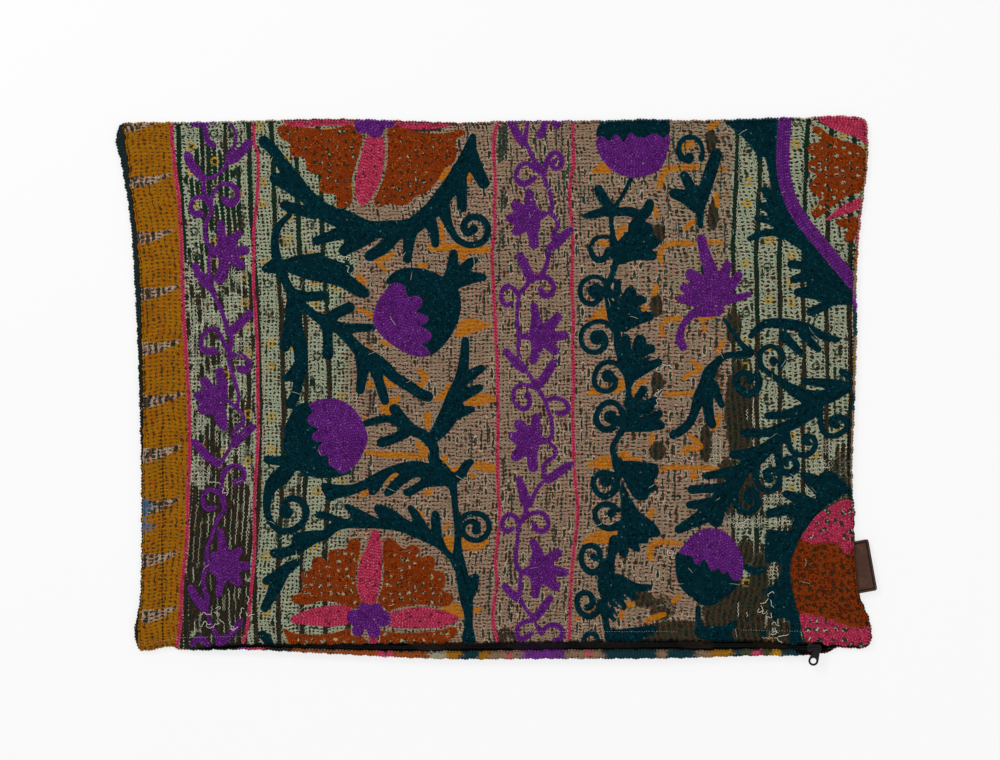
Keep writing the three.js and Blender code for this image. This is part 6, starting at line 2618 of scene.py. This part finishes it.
def make_coil():
    """Two interlocked coils of plastic wire, one on each tape."""
    line = np.array(ZIP_LINE)
    turns = int((CHAIN_TO - CHAIN_FROM - 2) / COIL_PITCH)
    angle = np.arange(turns * COIL_TURN) * 2 * math.pi / COIL_TURN
    paths = []
    for side in (-1, 1):
        phase = angle + (math.pi if side > 0 else 0)
        x = CHAIN_FROM + 1 + angle / (2 * math.pi) * COIL_PITCH
        y = np.interp(x, line[:, 0], line[:, 1]) + side * COIL_APART + COIL_HALF_WIDTH * np.cos(phase)
        z = CHAIN_BOTTOM + COIL_RISE + COIL_HALF_HEIGHT * np.sin(phase)
        paths.append(np.column_stack([x, y, z]))
    points, triangles, _ = tubes(paths, COIL_WIRE)
    piece = make_piece("zip_coil", points, triangles, black_plastic())
    soften(piece)
    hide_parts("zip_chain")
    return piece


LABEL_WIDTH = 22
LABEL_LENGTH = 48.6
LABEL_RADIUS = 2.2
LABEL_ROUND = 104  # points round the label
LABEL_CORNER = (346.6, -138.8)
LABEL_LEAN = 0.176  # radians
LABEL_BOTTOM = 2.8
LABEL_TOP = 1.68  # above its bottom, inside the pressed line
# The label's section from its lower rim to its middle: how far in, how high.
LABEL_PROFILE = [
    (0.35, 0.0), (0.05, 0.25), (0.0, 0.9), (0.05, 1.45), (0.35, 1.75), (0.8, 1.8), (1.7, 1.8),
    (2.0, 1.2), (3.0, 1.2), (3.3, 1.68), (3.8, 1.72), (5.0, 1.7), (6.5, 1.68), (8.5, 1.7), (10.4, 1.68),
]
WAVY_FROM = 6  # the ring of that section from which the leather is a little wavy


def rounded_loop(inset, per_corner=7):
    """Points round a rounded rectangle of the label's size, anticlockwise, drawn in by this much."""
    half_x = LABEL_WIDTH / 2 - inset
    half_y = LABEL_LENGTH / 2 - inset
    radius = max(LABEL_RADIUS - inset, 0.02)
    loop = []
    corners = ((1, 1, 0), (-1, 1, 90), (-1, -1, 180), (1, -1, 270))
    for sign_x, sign_y, turn in corners:
        for k in range(per_corner):
            angle = math.radians(turn + 90 * k / (per_corner - 1))
            loop.append((sign_x * (half_x - radius) + radius * math.cos(angle),
                         sign_y * (half_y - radius) + radius * math.sin(angle)))
    loop = np.array(loop)
    closed = np.vstack([loop, loop[:1]])
    return evenly(closed, np.arange(LABEL_ROUND) / LABEL_ROUND)


def label_rim(inset):
    """How dark the leather is this far in: its burnished edge and the pressed line."""
    return 0.9 if inset < 0.8 or 1.9 < inset < 3.1 else 0.0


def make_label():
    """A blank leather tab with a burnished rim and a pressed line inside it."""
    count = LABEL_ROUND
    points = np.vstack([
        np.column_stack([rounded_loop(inset), np.full(count, height)]) for inset, height in LABEL_PROFILE
    ])
    rim = np.repeat([label_rim(inset) for inset, _ in LABEL_PROFILE], count)
    top = points[WAVY_FROM * count :]
    top[:, 2] += 0.07 * np.sin(top[:, 0] * 0.9) * np.sin(top[:, 1] * 0.6)
    around = np.arange(count)
    ahead = np.roll(around, -1)
    last = (len(LABEL_PROFILE) - 1) * count
    bottom_centre, top_centre = len(points), len(points) + 1
    triangles = [
        close_rings(0, len(LABEL_PROFILE), count),
        np.column_stack([ahead, around, np.full(count, bottom_centre)]),
        np.column_stack([last + around, last + ahead, np.full(count, top_centre)]),
    ]
    points = np.vstack([points, [(0, 0, 0), (0, 0, LABEL_TOP)]])
    rim = np.r_[rim, 0, 0]
    points[:, :2] -= (LABEL_WIDTH / 2, LABEL_LENGTH / 2)
    cos, sin = math.cos(LABEL_LEAN), math.sin(LABEL_LEAN)
    x, y = points[:, 0].copy(), points[:, 1].copy()
    points[:, 0] = LABEL_CORNER[0] + x * cos - y * sin
    points[:, 1] = LABEL_CORNER[1] + x * sin + y * cos
    points[:, 2] += LABEL_BOTTOM
    triangles = np.vstack(triangles)
    piece = make_piece("leather_tab", points, triangles, leather_material(), {"rim": rim})
    soften(piece, math.radians(60))
    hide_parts("leather_label")
    return piece


def finish_node(name, material, bevel=None):
    """Gives a CAD node its material and, if asked, edges worn round by this width."""
    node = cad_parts[name]
    node.data.materials.clear()
    node.data.materials.append(material)
    if bevel:
        modifier = node.modifiers.new("worn_edges", "BEVEL")
        modifier.width = bevel * MM
        modifier.segments = 2
        modifier.limit_method = "ANGLE"
        modifier.angle_limit = math.radians(40)


make_coil()
make_label()
METAL = metal_material()
TAPE = tape_material()
finish_node("zip_tape_front", TAPE)
finish_node("zip_tape_back", TAPE)
finish_node("zip_slider", METAL, 0.35)
finish_node("zip_pull", METAL, 0.3)
